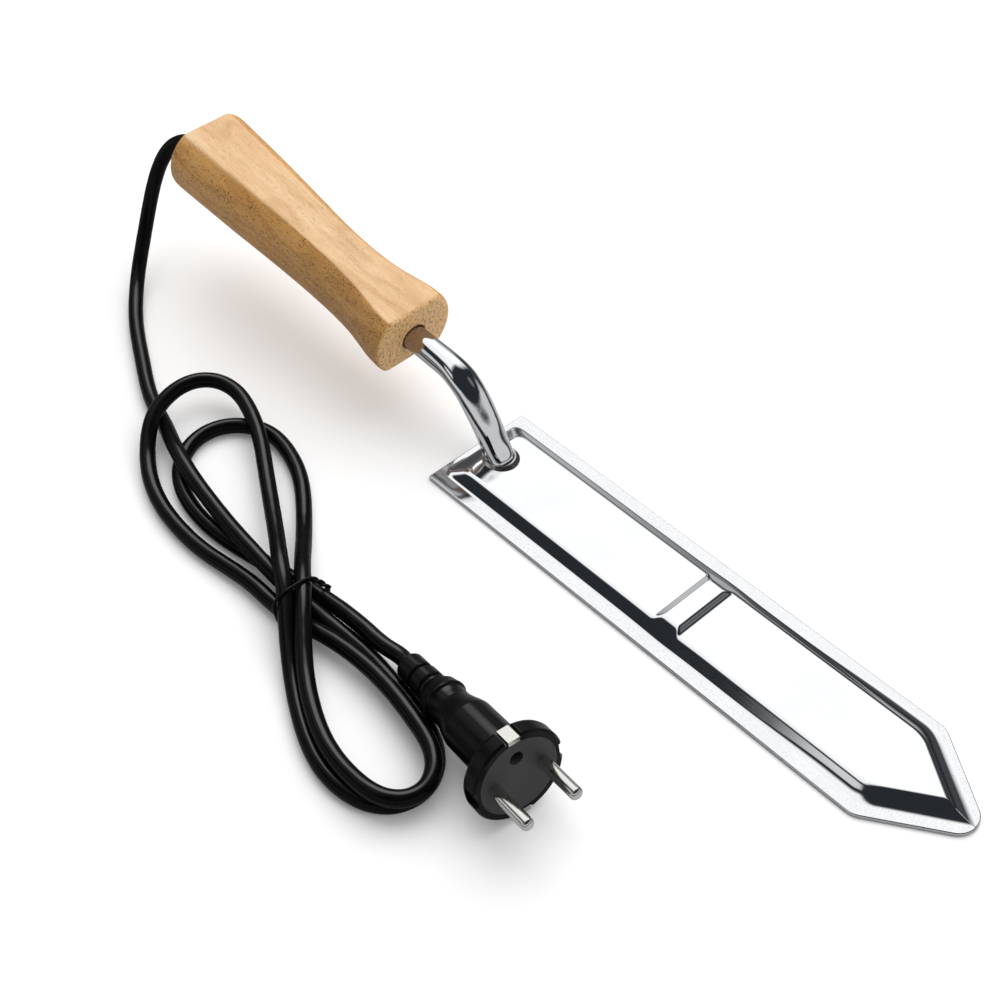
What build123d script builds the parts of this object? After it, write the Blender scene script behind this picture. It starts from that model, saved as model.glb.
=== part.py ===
from build123d import *
import os
import math

os.makedirs("parts", exist_ok=True)

# Electric uncapping knife: heated flat blade with a raised heater cover,
# bent tubular stem, wooden handle, mains cord tied in a hank and a moulded
# plug.  Millimetres, +Z up, +X towards the blade tip.  The origin lies on
# the flat underside of the blade, below the foot of the stem.

# ---------------- blade and cover dimensions ----------------
BLADE_W = 50.0          # over the cutting edges
HEEL_X = -16.0          # square heel of the blade
TIP_X = 232.0           # sharp intersection of the two point edges
TIP_HALF_ANGLE = math.radians(34.05)
HEEL_R, SHOULDER_R, TIP_R = 0.9, 9.0, 8.2
PLATE_T = 0.9
EDGE_T = 0.2            # land left at the cutting edge
BEVEL = 1.2             # bevel width on the base plate

SHEET = 0.6             # thickness of the stamped cover
SHEET_TOP = PLATE_T + SHEET
FLANGE_GAP = 0.15       # flange set in from the bevel, at its underside
FLANGE_TOP_GAP = 0.55
PANEL_Z = 5.0           # top of the raised panel
PANEL_HALF_W = 14.5     # half width of the panel top
PANEL_RUN = 4.7         # horizontal run of the sloping side walls
PANEL_HEEL_X = -6.0     # heel edge of the panel top
PANEL_HEEL_RUN = 7.0    # run of the gentler heel wall
PANEL_TIP_X = 213.6     # sharp tip of the panel top
PANEL_HEEL_R, PANEL_SHOULDER_R, PANEL_TIP_R = 4.0, 4.5, 2.6
PANEL_SINK = 0.3        # overlap of the panel into the flange
PANEL_EDGE_R = 1.6
WALL_SLOPE = PANEL_RUN / (PANEL_Z - SHEET_TOP)   # horizontal run per mm of rise

RIB_X0, RIB_X1 = 95.0, 107.4          # feet of the transverse rib
RIB_TOP_X0, RIB_TOP_X1 = 97.6, 104.8
RIB_Z = 6.6
RIB_ROOT_Z = PANEL_Z - 1.5
RIB_EDGE_R = 0.6

# ---------------- handle and cord dimensions ----------------
HANDLE_TILT = math.radians(8.2)       # rise towards the butt
HANDLE_FRONT = Vector(-50.7, 0, 36.3)  # centre of the front face
HANDLE_L = 135.0
BORE_R, BORE_L = 5.7, 98.0            # front bore for the stem and the splices
CORD_BORE_R = 3.45
CORD_R = 3.15
CORE_R = 1.15                         # insulated cores of the cord
TUBE_WALL = 0.9
STEM_CLEARANCE = 0.12


# ---------------- shared helpers ----------------
def save(node, shape):
    shape.label = node
    export_step(shape, os.path.join("parts", node + ".step"))


def cylinder_between(start, end, radius):
    axis = end - start
    return Plane(origin=start, z_dir=axis) * extrude(Circle(radius), amount=axis.length)


def rod(points, radius, count=None, ruled=False):
    """Round bar along a smooth line; sections keep a steady roll."""
    path = Spline([Vector(*p) for p in points])
    count = count or len(points) * 2
    sections, side = [], None
    for i in range(count):
        t = i / (count - 1)
        position, tangent = path @ t, path % t
        if side is None:
            ref = Vector(0, 0, 1) if abs(tangent.Z) < 0.9 else Vector(1, 0, 0)
            side = tangent.cross(ref).normalized()
        else:
            side = (side - tangent * side.dot(tangent)).normalized()
        sections.append(Plane(origin=position, x_dir=side, z_dir=tangent) * Circle(radius))
    return loft(sections, ruled=ruled)


# Handle frame: "along" runs from the front face to the butt, y across, "up" square to both.
HANDLE_ALONG = Vector(-math.cos(HANDLE_TILT), 0, math.sin(HANDLE_TILT))
HANDLE_UP = Vector(math.sin(HANDLE_TILT), 0, math.cos(HANDLE_TILT))


def handle_point(along, y=0, up=0):
    return HANDLE_FRONT + HANDLE_ALONG * along + Vector(0, 1, 0) * y + HANDLE_UP * up


def handle_plane(along, up=0):
    """Cross-section plane: local x is world y, local y is up."""
    return Plane(origin=handle_point(along, 0, up), x_dir=(0, 1, 0), z_dir=HANDLE_ALONG * -1)


def handle_cylinder(along0, along1, radius, y=0, up=0):
    return cylinder_between(handle_point(along0, y, up), handle_point(along1, y, up), radius)


# ---------------- blade ----------------
def pointed_face(half_w, heel_x, tip_x, z, heel_r, shoulder_r, tip_r):
    """Blade-shaped face: square heel, straight sides, pointed tip."""
    shoulder_x = tip_x - half_w / math.tan(TIP_HALF_ANGLE)
    face = make_face(Polyline((heel_x, -half_w), (shoulder_x, -half_w), (tip_x, 0),
                              (shoulder_x, half_w), (heel_x, half_w), close=True))
    for corner_x, radius in ((heel_x, heel_r), (shoulder_x, shoulder_r), (tip_x, tip_r)):
        corners = face.vertices().filter_by(lambda v: abs(v.X - corner_x) < 1e-4)
        face = fillet(corners, radius)
    return Pos(0, 0, z) * face


def blade_face(inset, z):
    return pointed_face(BLADE_W / 2 - inset, HEEL_X + inset,
                        TIP_X - inset / math.sin(TIP_HALF_ANGLE), z,
                        max(HEEL_R - inset * 0.5, 0.3), SHOULDER_R - inset, TIP_R - inset)


def panel_face(out, z):
    """Panel outline grown outwards by out from the panel top."""
    return pointed_face(PANEL_HALF_W + out, PANEL_HEEL_X - out * PANEL_HEEL_RUN / PANEL_RUN,
                        PANEL_TIP_X + out / math.sin(TIP_HALF_ANGLE), z,
                        PANEL_HEEL_R + out * 0.7, PANEL_SHOULDER_R + out, PANEL_TIP_R + out)


def panel_frustum(z0, out0, z1, out1):
    return loft([panel_face(out0, z0), panel_face(out1, z1)], ruled=True)


def make_plate():
    plate = extrude(blade_face(0, 0), amount=EDGE_T)
    plate += loft([blade_face(0, EDGE_T), blade_face(BEVEL, PLATE_T)], ruled=True)
    return plate


def make_rib():
    """Transverse rib, trimmed by the panel walls carried up to its height."""
    walls = panel_frustum(SHEET_TOP, PANEL_RUN, RIB_Z, (PANEL_Z - RIB_Z) * WALL_SLOPE)
    profile = Plane.XZ * make_face(Polyline(
        (RIB_X0, RIB_ROOT_Z), (RIB_X0, PANEL_Z), (RIB_TOP_X0, RIB_Z),
        (RIB_TOP_X1, RIB_Z), (RIB_X1, PANEL_Z), (RIB_X1, RIB_ROOT_Z), close=True))
    rib = extrude(profile, amount=30, both=True) & walls
    # Leaves the rib sharp if its top edges cannot be filleted.
    try:
        top_edges = rib.edges().filter_by(lambda e: e.center().Z > RIB_Z - 0.01)
        rib = fillet(top_edges, RIB_EDGE_R)
    except Exception:
        pass
    return rib


def make_cover(stem_space):
    flange = loft([blade_face(BEVEL + FLANGE_GAP, PLATE_T),
                   blade_face(BEVEL + FLANGE_TOP_GAP, SHEET_TOP)], ruled=True)
    raised = panel_frustum(SHEET_TOP - PANEL_SINK, PANEL_RUN + PANEL_SINK * WALL_SLOPE,
                           PANEL_Z, 0)
    # Leaves the panel sharp if its top edges cannot be filleted.
    try:
        top_edges = raised.faces().sort_by(Axis.Z)[-1].edges()
        raised = fillet(top_edges, PANEL_EDGE_R)
    except Exception:
        pass
    outer = flange + raised + make_rib()
    # Vertical drop that gives one sheet thickness measured square to the side wall.
    drop = SHEET / math.cos(math.atan(1 / WALL_SLOPE))
    inner = panel_frustum(PLATE_T - 0.01, PANEL_RUN + (SHEET_TOP - PLATE_T - drop) * WALL_SLOPE,
                          PANEL_Z - SHEET, -(drop - SHEET) * WALL_SLOPE)
    cover = outer - inner
    return cover - stem_space


# ---------------- stem ----------------
# Centre line from inside the handle down to the foot.
STEM_POINTS = [
    handle_point(31), handle_point(20), handle_point(9, 0, 0.02),
    (-50.7, 0, 36.35), (-42.7, 0, 35.85), (-33.2, 0, 35.35), (-25.6, 0, 34.05),
    (-19.0, 0, 30.3), (-13.6, 0, 24.4), (-7.3, 0, 15.3), (-3.4, 0, 8.6), (-0.75, 0, 3.9),
]
STEM_PATH = Spline([Vector(*p) for p in STEM_POINTS])
STEM_SECTIONS = 18

# Fraction of the path, half width across, half height in the bend plane.
STEM_KEYS = [
    (0.0, 5.3, 5.3), (0.40, 5.3, 5.25), (0.52, 5.6, 4.95), (0.64, 6.25, 4.35),
    (0.74, 6.3, 4.3), (0.86, 6.0, 4.9), (1.0, 5.85, 5.2),
]

# Braze rings: rise followed along the leaning stem, height over the panel, x and y radii.
BRAZE_RINGS = [(0, 0.02, 8.0, 7.2), (0.55, 0.55, 7.6, 6.8), (1.2, 1.2, 6.9, 6.3)]


def stem_radii(t):
    for (t0, across0, height0), (t1, across1, height1) in zip(STEM_KEYS, STEM_KEYS[1:]):
        if t <= t1 + 1e-9:
            f = (t - t0) / (t1 - t0)
            f = f * f * (3 - 2 * f)
            return across0 + (across1 - across0) * f, height0 + (height1 - height0) * f


def stem_plane(t):
    return Plane(origin=STEM_PATH @ t, x_dir=(0, 1, 0), z_dir=STEM_PATH % t)


def stem_ellipse(t, grow):
    across, height = stem_radii(t)
    return Ellipse(across + grow, height + grow)


def stem_loft(grow):
    stations = [i / (STEM_SECTIONS - 1) for i in range(STEM_SECTIONS)]
    return loft([stem_plane(t) * stem_ellipse(t, grow) for t in stations])


def make_stem_space():
    """The stem with clearance, carried on past its foot."""
    space = stem_loft(STEM_CLEARANCE)
    space += stem_plane(1.0) * extrude(stem_ellipse(1.0, STEM_CLEARANCE), amount=4)
    return space


def make_stem():
    stem = stem_loft(0) - stem_loft(-TUBE_WALL)
    return stem - screw_axis_cylinder(-8, -3, SCREW_HOLE_R)


def make_braze(stem_space):
    """Bead of braze round the foot of the stem."""
    tangent = STEM_PATH % 0.97
    lean = tangent.X / -tangent.Z
    end_x, _, end_z = STEM_POINTS[-1]
    foot_x = end_x - (PANEL_Z - end_z) * lean
    bead = loft([Pos(foot_x - follow * lean, 0, PANEL_Z + rise) * Ellipse(radius_x, radius_y)
                 for follow, rise, radius_x, radius_y in BRAZE_RINGS])
    return bead - stem_space


# ---------------- handle ----------------
# Along; top height and half width; side half width and height;
# bottom height and half width.
HANDLE_KEYS = [
    (0.0, 14.5, 11.3, 17.4, 2.4, -10.6, 12.8),
    (0.5, 15.0, 12.0, 18.2, 2.4, -11.1, 13.5),
    (1.3, 15.3, 12.5, 18.7, 2.4, -11.4, 13.9),
    (3.2, 15.4, 12.6, 18.9, 2.5, -11.5, 14.0),
    (9.0, 15.2, 12.2, 18.5, 2.5, -11.3, 13.6),
    (16.0, 14.9, 10.9, 17.1, 2.5, -11.0, 12.6),
    (25.0, 14.6, 9.5, 15.5, 2.5, -10.9, 11.5),
    (38.0, 14.5, 8.5, 14.6, 2.6, -10.9, 10.9),
    (55.0, 14.8, 8.3, 14.9, 2.8, -11.0, 10.9),
    (75.0, 15.3, 8.9, 16.3, 3.1, -11.1, 11.4),
    (95.0, 15.8, 9.8, 17.8, 3.4, -11.3, 12.3),
    (115.0, 16.2, 10.6, 18.9, 3.7, -11.5, 13.0),
    (128.0, 16.4, 11.1, 19.5, 3.9, -11.7, 13.4),
    (132.9, 16.4, 11.2, 19.6, 3.9, -11.7, 13.5),
    (134.4, 16.1, 10.9, 19.2, 3.9, -11.4, 13.2),
    (HANDLE_L, 15.5, 10.4, 18.6, 3.8, -10.9, 12.7),
]
GRIP_START, GRIP_END, GRIP_SECTIONS = 4.0, 131.5, 16   # smoothly lofted middle part

SCREW_ALONG = 18
SCREW_HOLE_R, SCREW_SHANK_R = 1.6, 1.5
SCREW_SINK_R, SCREW_HEAD_R = 3.1, 2.9


def handle_face(key):
    along, top, top_half, side_half, side, bottom, bottom_half = key
    return handle_plane(along) * make_face([
        Line((-top_half, top), (top_half, top)),
        ThreePointArc((top_half, top), (side_half, side), (bottom_half, bottom)),
        Line((bottom_half, bottom), (-bottom_half, bottom)),
        ThreePointArc((-bottom_half, bottom), (-side_half, side), (-top_half, top)),
    ])


def handle_key_at(along):
    """Row like those of HANDLE_KEYS at any station, by cubic interpolation."""
    last = len(HANDLE_KEYS) - 1
    i = max(j for j in range(last) if HANDLE_KEYS[j][0] <= along + 1e-9)
    start, end = HANDLE_KEYS[i], HANDLE_KEYS[i + 1]
    before, after = HANDLE_KEYS[max(i - 1, 0)], HANDLE_KEYS[min(i + 2, last)]
    span = end[0] - start[0]
    f = (along - start[0]) / span
    row = [along]
    for c in range(1, 7):
        start_slope = (end[c] - before[c]) / (end[0] - before[0])
        end_slope = (after[c] - start[c]) / (after[0] - start[0])
        row.append((2 * f**3 - 3 * f**2 + 1) * start[c]
                   + (f**3 - 2 * f**2 + f) * span * start_slope
                   + (3 * f**2 - 2 * f**3) * end[c]
                   + (f**3 - f**2) * span * end_slope)
    return row


def screw_axis_cylinder(low, high, radius):
    return cylinder_between(handle_point(SCREW_ALONG, 0, low),
                            handle_point(SCREW_ALONG, 0, high), radius)


def make_handle():
    middle = [handle_key_at(GRIP_START + (GRIP_END - GRIP_START) * i / (GRIP_SECTIONS - 1))
              for i in range(GRIP_SECTIONS)]
    front = [*HANDLE_KEYS[:2], handle_key_at(0.9), HANDLE_KEYS[2], handle_key_at(2.4), middle[0]]
    butt = [middle[-1], HANDLE_KEYS[13], handle_key_at(133.7), *HANDLE_KEYS[14:]]
    handle = loft([handle_face(key) for key in middle])
    handle += loft([handle_face(key) for key in front], ruled=True)
    handle += loft([handle_face(key) for key in butt], ruled=True)
    handle -= handle_cylinder(-1, BORE_L, BORE_R)
    handle -= handle_cylinder(BORE_L - 1, HANDLE_L + 1, CORD_BORE_R)
    # stepped screw hole through the underside
    handle -= screw_axis_cylinder(-12, -3, SCREW_HOLE_R)
    handle -= screw_axis_cylinder(-12, -8.2, SCREW_SINK_R)
    return handle


def make_screw():
    screw = screw_axis_cylinder(-9.9, -8.25, SCREW_HEAD_R)
    # Leaves the head sharp if its lowest edge cannot be filleted.
    try:
        screw = fillet(screw.edges().sort_by(Axis.Z)[0:1], 0.8)
    except Exception:
        pass
    screw += screw_axis_cylinder(-8.4, -4.1, SCREW_SHANK_R)
    slot = handle_plane(SCREW_ALONG, -10.0) * extrude(Rectangle(7, 1.7), amount=0.45, both=True)
    return screw - slot


# ---------------- heater pack ----------------
CORE_BOARD_Z, CORE_BOARD_T = 1.85, 0.5
MICA_X, MICA_L, MICA_W, MICA_T = 109, 156, 26, 0.4
TERMINAL_X, TERMINAL_Y = 25, 8        # live at -y, neutral at +y
EYELET_HOLE_R = 1.05
EYELET_R, EYELET_RIM_R, EYELET_RIM_T = 0.95, 1.9, 0.3
EYELET_BOTTOM = 1.55
EYELET_TOP = {"live": 2.30, "neutral": 2.98}

TURNS, TURN_PITCH, FIRST_TURN_X = 22, 6.8, 34.0
RIBBON_W, RIBBON_T = 1.6, 0.14
RIBBON_SPAN = 23.6                    # over the outside of the turns
RIBBON_GAP = 0.01                     # clear of the core board

RETURN_X0, RETURN_X1, RETURN_Z = 24.0, 188.6, 2.86


def make_core():
    core = Pos(106, 0, CORE_BOARD_Z) * Box(168, 23, CORE_BOARD_T)
    for y in (-TERMINAL_Y, TERMINAL_Y):
        core -= Pos(TERMINAL_X, y, CORE_BOARD_Z) * Cylinder(EYELET_HOLE_R, 2)
    return core


def make_mica_sheet(z):
    return Pos(MICA_X, 0, z) * Box(MICA_L, MICA_W, MICA_T)


def make_winding():
    """Flat ribbon: straight across the top, down, slanting back below, up."""
    reach = CORE_BOARD_T / 2 + RIBBON_T / 2 + RIBBON_GAP
    top_z, bottom_z = CORE_BOARD_Z + reach, CORE_BOARD_Z - reach
    cross = RIBBON_SPAN - RIBBON_T
    upright = Box(RIBBON_W, RIBBON_T, top_z - bottom_z + RIBBON_T)
    slant = 90 + math.degrees(math.atan2(TURN_PITCH, cross))
    slant_l = math.hypot(TURN_PITCH, cross) + 0.25
    bars = []
    for i in range(TURNS):
        x = FIRST_TURN_X + i * TURN_PITCH
        bars.append(Pos(x, 0, top_z) * Box(RIBBON_W, RIBBON_SPAN, RIBBON_T))
        bars.append(Pos(x, cross / 2, CORE_BOARD_Z) * upright)
        if i < TURNS - 1:
            bars.append(Pos(x + TURN_PITCH / 2, 0, bottom_z) * Rot(0, 0, slant)
                        * Box(slant_l, RIBBON_W * 0.97, RIBBON_T))
            bars.append(Pos(x + TURN_PITCH, -cross / 2, CORE_BOARD_Z) * upright)
    # tail from the first turn to the live terminal
    bars.append(Pos(29.6, -TERMINAL_Y, top_z) * Box(10.4, 1.4, RIBBON_T))
    winding = bars[0].fuse(*bars[1:])
    return winding - Pos(TERMINAL_X, -TERMINAL_Y, top_z) * Cylinder(1.0, 1)


def make_return():
    """Straight return strip with a round eye at the neutral terminal."""
    eye = Pos(TERMINAL_X, TERMINAL_Y, RETURN_Z)
    strip = (Pos((RETURN_X0 + RETURN_X1) / 2, TERMINAL_Y, RETURN_Z)
             * Box(RETURN_X1 - RETURN_X0, 2.0, RIBBON_T))
    strip += eye * Cylinder(EYELET_RIM_R, RIBBON_T)
    return strip - eye * Cylinder(EYELET_HOLE_R, 1)


def make_eyelet(y, bottom, top):
    eyelet = Pos(TERMINAL_X, y, (bottom + top) / 2) * Cylinder(EYELET_R, top - bottom)
    for rim_z in (bottom - EYELET_RIM_T / 2, top + EYELET_RIM_T / 2):
        eyelet += Pos(TERMINAL_X, y, rim_z) * Cylinder(EYELET_RIM_R, EYELET_RIM_T)
    return eyelet - Pos(TERMINAL_X, y, 2) * Cylinder(0.5, 6)


def make_earth_tag():
    tag = Pos(9.9, 0, PLATE_T + 0.22) * Box(9.6, 5, 0.4)
    tag += Pos(6.6, 0, PLATE_T + 0.52) * Box(2.2, 2.4, 0.3)
    return tag


# ---------------- leads, splices and cord end ----------------
LEAD_R = 0.85
SPLICE_R = 1.8
# Offsets across (y) and up from the centre line.
LEAD_OFFSET = {"live": (-1.62, 0.93), "neutral": (1.62, 0.93), "earth": (0.0, -1.85)}
SPLICE_OFFSET = {"live": (-2.55, 1.48), "neutral": (2.55, 1.48), "earth": (0.0, -2.95)}
PLUG_CORE_OFFSET = {"live": (-1.39, 0.8), "neutral": (1.39, 0.8), "earth": (0.0, -1.6)}
LEAD_STATIONS = (0.02, 0.14, 0.27, 0.40, 0.52, 0.62, 0.71, 0.80, 0.89, 0.965)  # on STEM_PATH
# Lead ends under the cover; the live one mirrors the neutral one.
NEUTRAL_END = [(2.2, 2.4, 2.6), (8.0, 4.6, 2.5), (14.0, 6.8, 2.7),
               (19.5, TERMINAL_Y, 3.0), (22.4, TERMINAL_Y, 3.05)]
LEAD_END = {
    "live": [(x, -y, z) for x, y, z in NEUTRAL_END],
    "neutral": NEUTRAL_END,
    "earth": [(-2.0, 0.0, 2.95), (0.2, 0.0, 2.25), (2.6, 0.0, 2.05), (4.6, 0.0, 2.05)],
}
# Cord cores closing in behind the splices: along, share of the splice offset.
CORE_STATIONS = [(60.2, 1), (64, 1), (72, 0.6), (79, 0.48), (84, 0.48)]


def make_lead(wire):
    points = [handle_point(along, *SPLICE_OFFSET[wire]) for along in (46.0, 43.0)]
    across, up = LEAD_OFFSET[wire]
    for t in LEAD_STATIONS:
        tangent = STEM_PATH % t
        normal = Vector(-tangent.Z, 0, tangent.X)
        points.append(STEM_PATH @ t + Vector(0, across, 0) + normal * up)
    return rod(points + LEAD_END[wire], LEAD_R)


def make_splice(wire):
    return handle_cylinder(46.1, 60.1, SPLICE_R, *SPLICE_OFFSET[wire])


def make_cord_core(wire):
    y, up = SPLICE_OFFSET[wire]
    return rod([handle_point(along, y * share, up * share) for along, share in CORE_STATIONS],
               CORE_R)


def make_cord_grip():
    grip = handle_cylinder(91.0, 97.9, 5.6) - handle_cylinder(90, 99, CORD_R + 0.03)
    # Leaves the collar sharp if its outer edges cannot be filleted.
    try:
        outer_edges = grip.edges().filter_by(GeomType.CIRCLE).filter_by(lambda e: e.radius > 5)
        grip = fillet(outer_edges, 0.8)
    except Exception:
        pass
    return grip


# ---------------- cord hank ----------------
# Centre line (x, y, z) from the handle butt, through the hank, to the plug.
CORD_POINTS = [
    (-187.18, -0.08, 56.04), (-195.43, -1.97, 56.54), (-202.15, -5.75, 53.17),
    (-205.52, -10.22, 46.80), (-206.49, -14.51, 39.50), (-205.92, -18.84, 32.18),
    (-204.22, -23.39, 25.16), (-201.64, -28.30, 18.68), (-198.29, -33.55, 12.85),
    (-193.91, -39.03, 8.04), (-188.09, -44.53, 5.14), (-181.49, -49.74, 3.72),
    (-174.47, -54.58, 3.23), (-167.17, -59.00, 3.18), (-159.67, -63.08, 3.18),
    (-152.07, -66.97, 3.18), (-144.47, -70.84, 3.19), (-136.84, -74.68, 3.18),
    (-129.06, -78.19, 3.18), (-121.03, -81.07, 3.38), (-112.89, -83.51, 4.16),
    (-104.90, -86.09, 5.65), (-97.14, -89.00, 7.74), (-89.24, -91.73, 9.42),
    (-81.03, -94.00, 9.95), (-72.70, -95.85, 9.86), (-64.29, -97.31, 9.60),
    (-55.85, -98.55, 9.47), (-47.39, -99.72, 9.49), (-38.92, -100.74, 9.66),
    (-30.42, -101.49, 9.71), (-21.91, -102.00, 9.26), (-13.42, -102.25, 8.39),
    (-4.94, -102.18, 7.42), (3.52, -101.70, 6.39), (11.92, -100.86, 5.13),
    (20.29, -99.80, 3.87), (28.76, -98.99, 3.24), (37.30, -98.82, 3.18),
    (45.81, -99.42, 3.18), (54.29, -100.38, 3.18), (62.77, -101.34, 3.21),
    (71.17, -102.85, 3.29), (79.28, -105.51, 3.35), (86.56, -109.91, 3.30),
    (91.75, -116.61, 3.19), (93.10, -124.95, 3.18), (89.94, -132.77, 3.17),
    (83.24, -137.94, 3.22), (75.06, -140.29, 3.26), (66.54, -140.52, 3.22),
    (58.14, -139.07, 3.18), (50.04, -136.38, 3.18), (42.23, -132.95, 3.17),
    (34.63, -129.07, 3.32), (27.24, -124.86, 4.11), (20.16, -120.41, 5.80),
    (13.38, -115.80, 8.17), (6.82, -111.03, 10.81), (0.11, -106.30, 13.15),
    (-7.08, -101.85, 14.28), (-14.39, -97.54, 13.53), (-21.58, -93.22, 11.96),
    (-28.80, -88.91, 10.49), (-36.11, -84.64, 9.37), (-43.46, -80.36, 8.60),
    (-50.83, -76.08, 8.23), (-58.18, -71.74, 8.20), (-65.53, -67.40, 8.39),
    (-73.03, -63.35, 8.83), (-80.82, -59.93, 9.47), (-88.90, -57.23, 10.04),
    (-97.25, -55.90, 11.02), (-105.30, -57.95, 12.59), (-111.23, -63.87, 13.63),
    (-113.76, -71.95, 13.29), (-113.06, -80.33, 12.07), (-110.08, -88.07, 10.18),
    (-105.07, -94.37, 7.38), (-98.79, -99.62, 5.00), (-91.61, -104.04, 3.75),
    (-83.82, -107.48, 3.29), (-75.65, -109.96, 3.18), (-67.27, -111.57, 3.18),
    (-58.78, -112.40, 3.18), (-50.25, -112.61, 3.18), (-41.73, -112.08, 3.23),
    (-33.27, -110.99, 3.49), (-24.81, -109.89, 3.89), (-16.31, -109.31, 4.32),
    (-7.78, -109.35, 4.57), (0.75, -109.03, 4.65), (9.21, -107.95, 5.07),
    (17.56, -106.48, 6.01), (25.95, -105.15, 6.86), (34.43, -104.32, 7.41),
    (42.95, -104.01, 7.83), (51.47, -104.34, 8.24), (59.95, -105.23, 8.59),
    (68.36, -106.63, 8.94), (76.71, -108.33, 9.37), (84.87, -110.79, 9.75),
    (92.03, -115.35, 9.66), (96.01, -122.72, 9.12), (93.97, -130.82, 9.21),
    (87.21, -135.81, 9.74), (78.82, -137.12, 9.39), (70.32, -136.79, 8.70),
    (61.91, -135.44, 8.23), (53.73, -133.03, 8.04), (45.86, -129.74, 7.97),
    (38.25, -125.86, 7.94), (30.95, -121.47, 8.40), (24.01, -116.65, 9.57),
    (17.34, -111.53, 11.08), (10.79, -106.23, 12.43), (4.07, -101.00, 12.88),
    (-2.78, -96.01, 11.92), (-9.44, -91.05, 9.96), (-15.89, -86.01, 7.53),
    (-22.41, -80.96, 5.32), (-29.10, -75.88, 3.84), (-35.94, -70.80, 3.24),
    (-42.99, -66.00, 3.18), (-50.46, -61.88, 3.18), (-58.41, -58.78, 3.18),
    (-66.70, -56.78, 3.18), (-75.21, -56.33, 3.18), (-83.33, -58.76, 3.18),
    (-89.82, -64.23, 3.44), (-93.50, -71.86, 3.62), (-93.63, -80.34, 3.45),
    (-90.32, -88.15, 3.20), (-84.56, -94.41, 3.18), (-77.25, -98.78, 3.18),
    (-69.17, -101.51, 3.18), (-60.77, -102.98, 3.18), (-52.25, -103.41, 3.18),
    (-43.73, -102.89, 3.18), (-35.28, -101.67, 3.18), (-26.89, -100.09, 3.18),
    (-18.50, -98.56, 3.35), (-10.09, -97.19, 3.88), (-1.67, -95.94, 4.57),
    (6.76, -94.85, 5.29), (15.23, -94.11, 6.06), (23.73, -93.87, 6.80),
    (32.25, -93.93, 7.34), (40.78, -93.82, 7.54), (49.25, -92.80, 7.72),
]

# Twist tie of coated wire round the crossing of the strands.
TIE_ORIGIN = Vector(3.76, -105.25, 0)
TIE_ACROSS = Vector(0.0823, 0.9966, 0).normalized()
TIE_NORMAL = Vector(TIE_ACROSS.Y, -TIE_ACROSS.X, 0)
TIE_R = 0.6
TIE_SHIFT = 0.9          # the loop's ends stand apart by this along the normal
# Loop points: across, z.
TIE_LOOP = [
    (7.68, 16.16), (5.41, 16.68), (3.26, 16.77), (1.11, 16.66), (-1.04, 16.55), (-3.18, 16.36),
    (-5.16, 15.54), (-6.95, 14.34), (-8.17, 12.58), (-8.40, 10.47), (-8.14, 8.33), (-7.87, 6.19),
    (-7.60, 4.06), (-6.70, 2.13), (-4.91, 0.98), (-2.77, 0.82), (-0.62, 0.87), (1.54, 0.92),
    (3.69, 0.96), (5.85, 1.01), (8.00, 1.06), (10.16, 1.11), (12.20, 1.75), (13.75, 3.20),
    (14.34, 5.24), (13.73, 7.28), (12.53, 9.07), (11.33, 10.86), (10.13, 12.65), (8.93, 14.44),
    (7.53, 15.86),
]
KNOT_ACROSS, KNOT_Z = 7.43, 15.96
TWIST_R, TWIST_STEPS = 0.62, 12


def tie_point(across, z, normal):
    return TIE_ORIGIN + TIE_ACROSS * across + Vector(0, 0, z) + TIE_NORMAL * normal


def make_tie_strand(phase):
    """One strand of the twisted tail."""
    points = []
    for i in range(TWIST_STEPS + 1):
        s = i / TWIST_STEPS
        angle = s * math.pi * 3.0 + phase
        centre = tie_point(KNOT_ACROSS + 0.1 + 3.4 * s,
                           KNOT_Z + 0.4 - 1.6 * s + 0.9 * math.sin(s * 3), -0.1 + 7.6 * s)
        sideways = (TIE_NORMAL * 0.41 - TIE_ACROSS * 0.91) * (TWIST_R * math.cos(angle))
        points.append(centre + sideways + Vector(0, 0, TWIST_R * math.sin(angle)))
    return rod(points, TIE_R * 0.96, 30, ruled=True)


def make_tie():
    last = len(TIE_LOOP) - 1
    loop = rod([tie_point(across, z, TIE_SHIFT * (i / last - 0.5))
                for i, (across, z) in enumerate(TIE_LOOP)], TIE_R, 84, ruled=True)
    return loop.fuse(make_tie_strand(0), make_tie_strand(math.pi))


# ---------------- plug ----------------
PLUG_REAR = Vector(53.61, -93.61, 8.60)    # centre of the rear face of the strain relief
PLUG_AXIS = Vector(0.97902, -0.12079, 0.16410).normalized()
PLUG_ACROSS = Vector(0, 0, 1).cross(PLUG_AXIS).normalized()
# Plug frame: x level across, y up, z along the axis from the rear to the pins.
PLUG = Plane(origin=PLUG_REAR, x_dir=PLUG_ACROSS, z_dir=PLUG_AXIS)
PLUG_UP = PLUG_AXIS.cross(PLUG_ACROSS).normalized()
FACE = 66.6                                # pin face, along the axis
FLANGE_R = 17.7
RECESS_R, RECESS_DEPTH = 15.0, 4
SOCKET_R, SOCKET_DEPTH = 8.0, 20
PLUG_BORE_R = 3.3
CARRIER_GAP = 0.05
PIN_R, PIN_L, PIN_SPACING = 2.4, 19.0, 19.0
PIN_ROOT_R = 1.6                           # turned-down root held in the carrier

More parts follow.
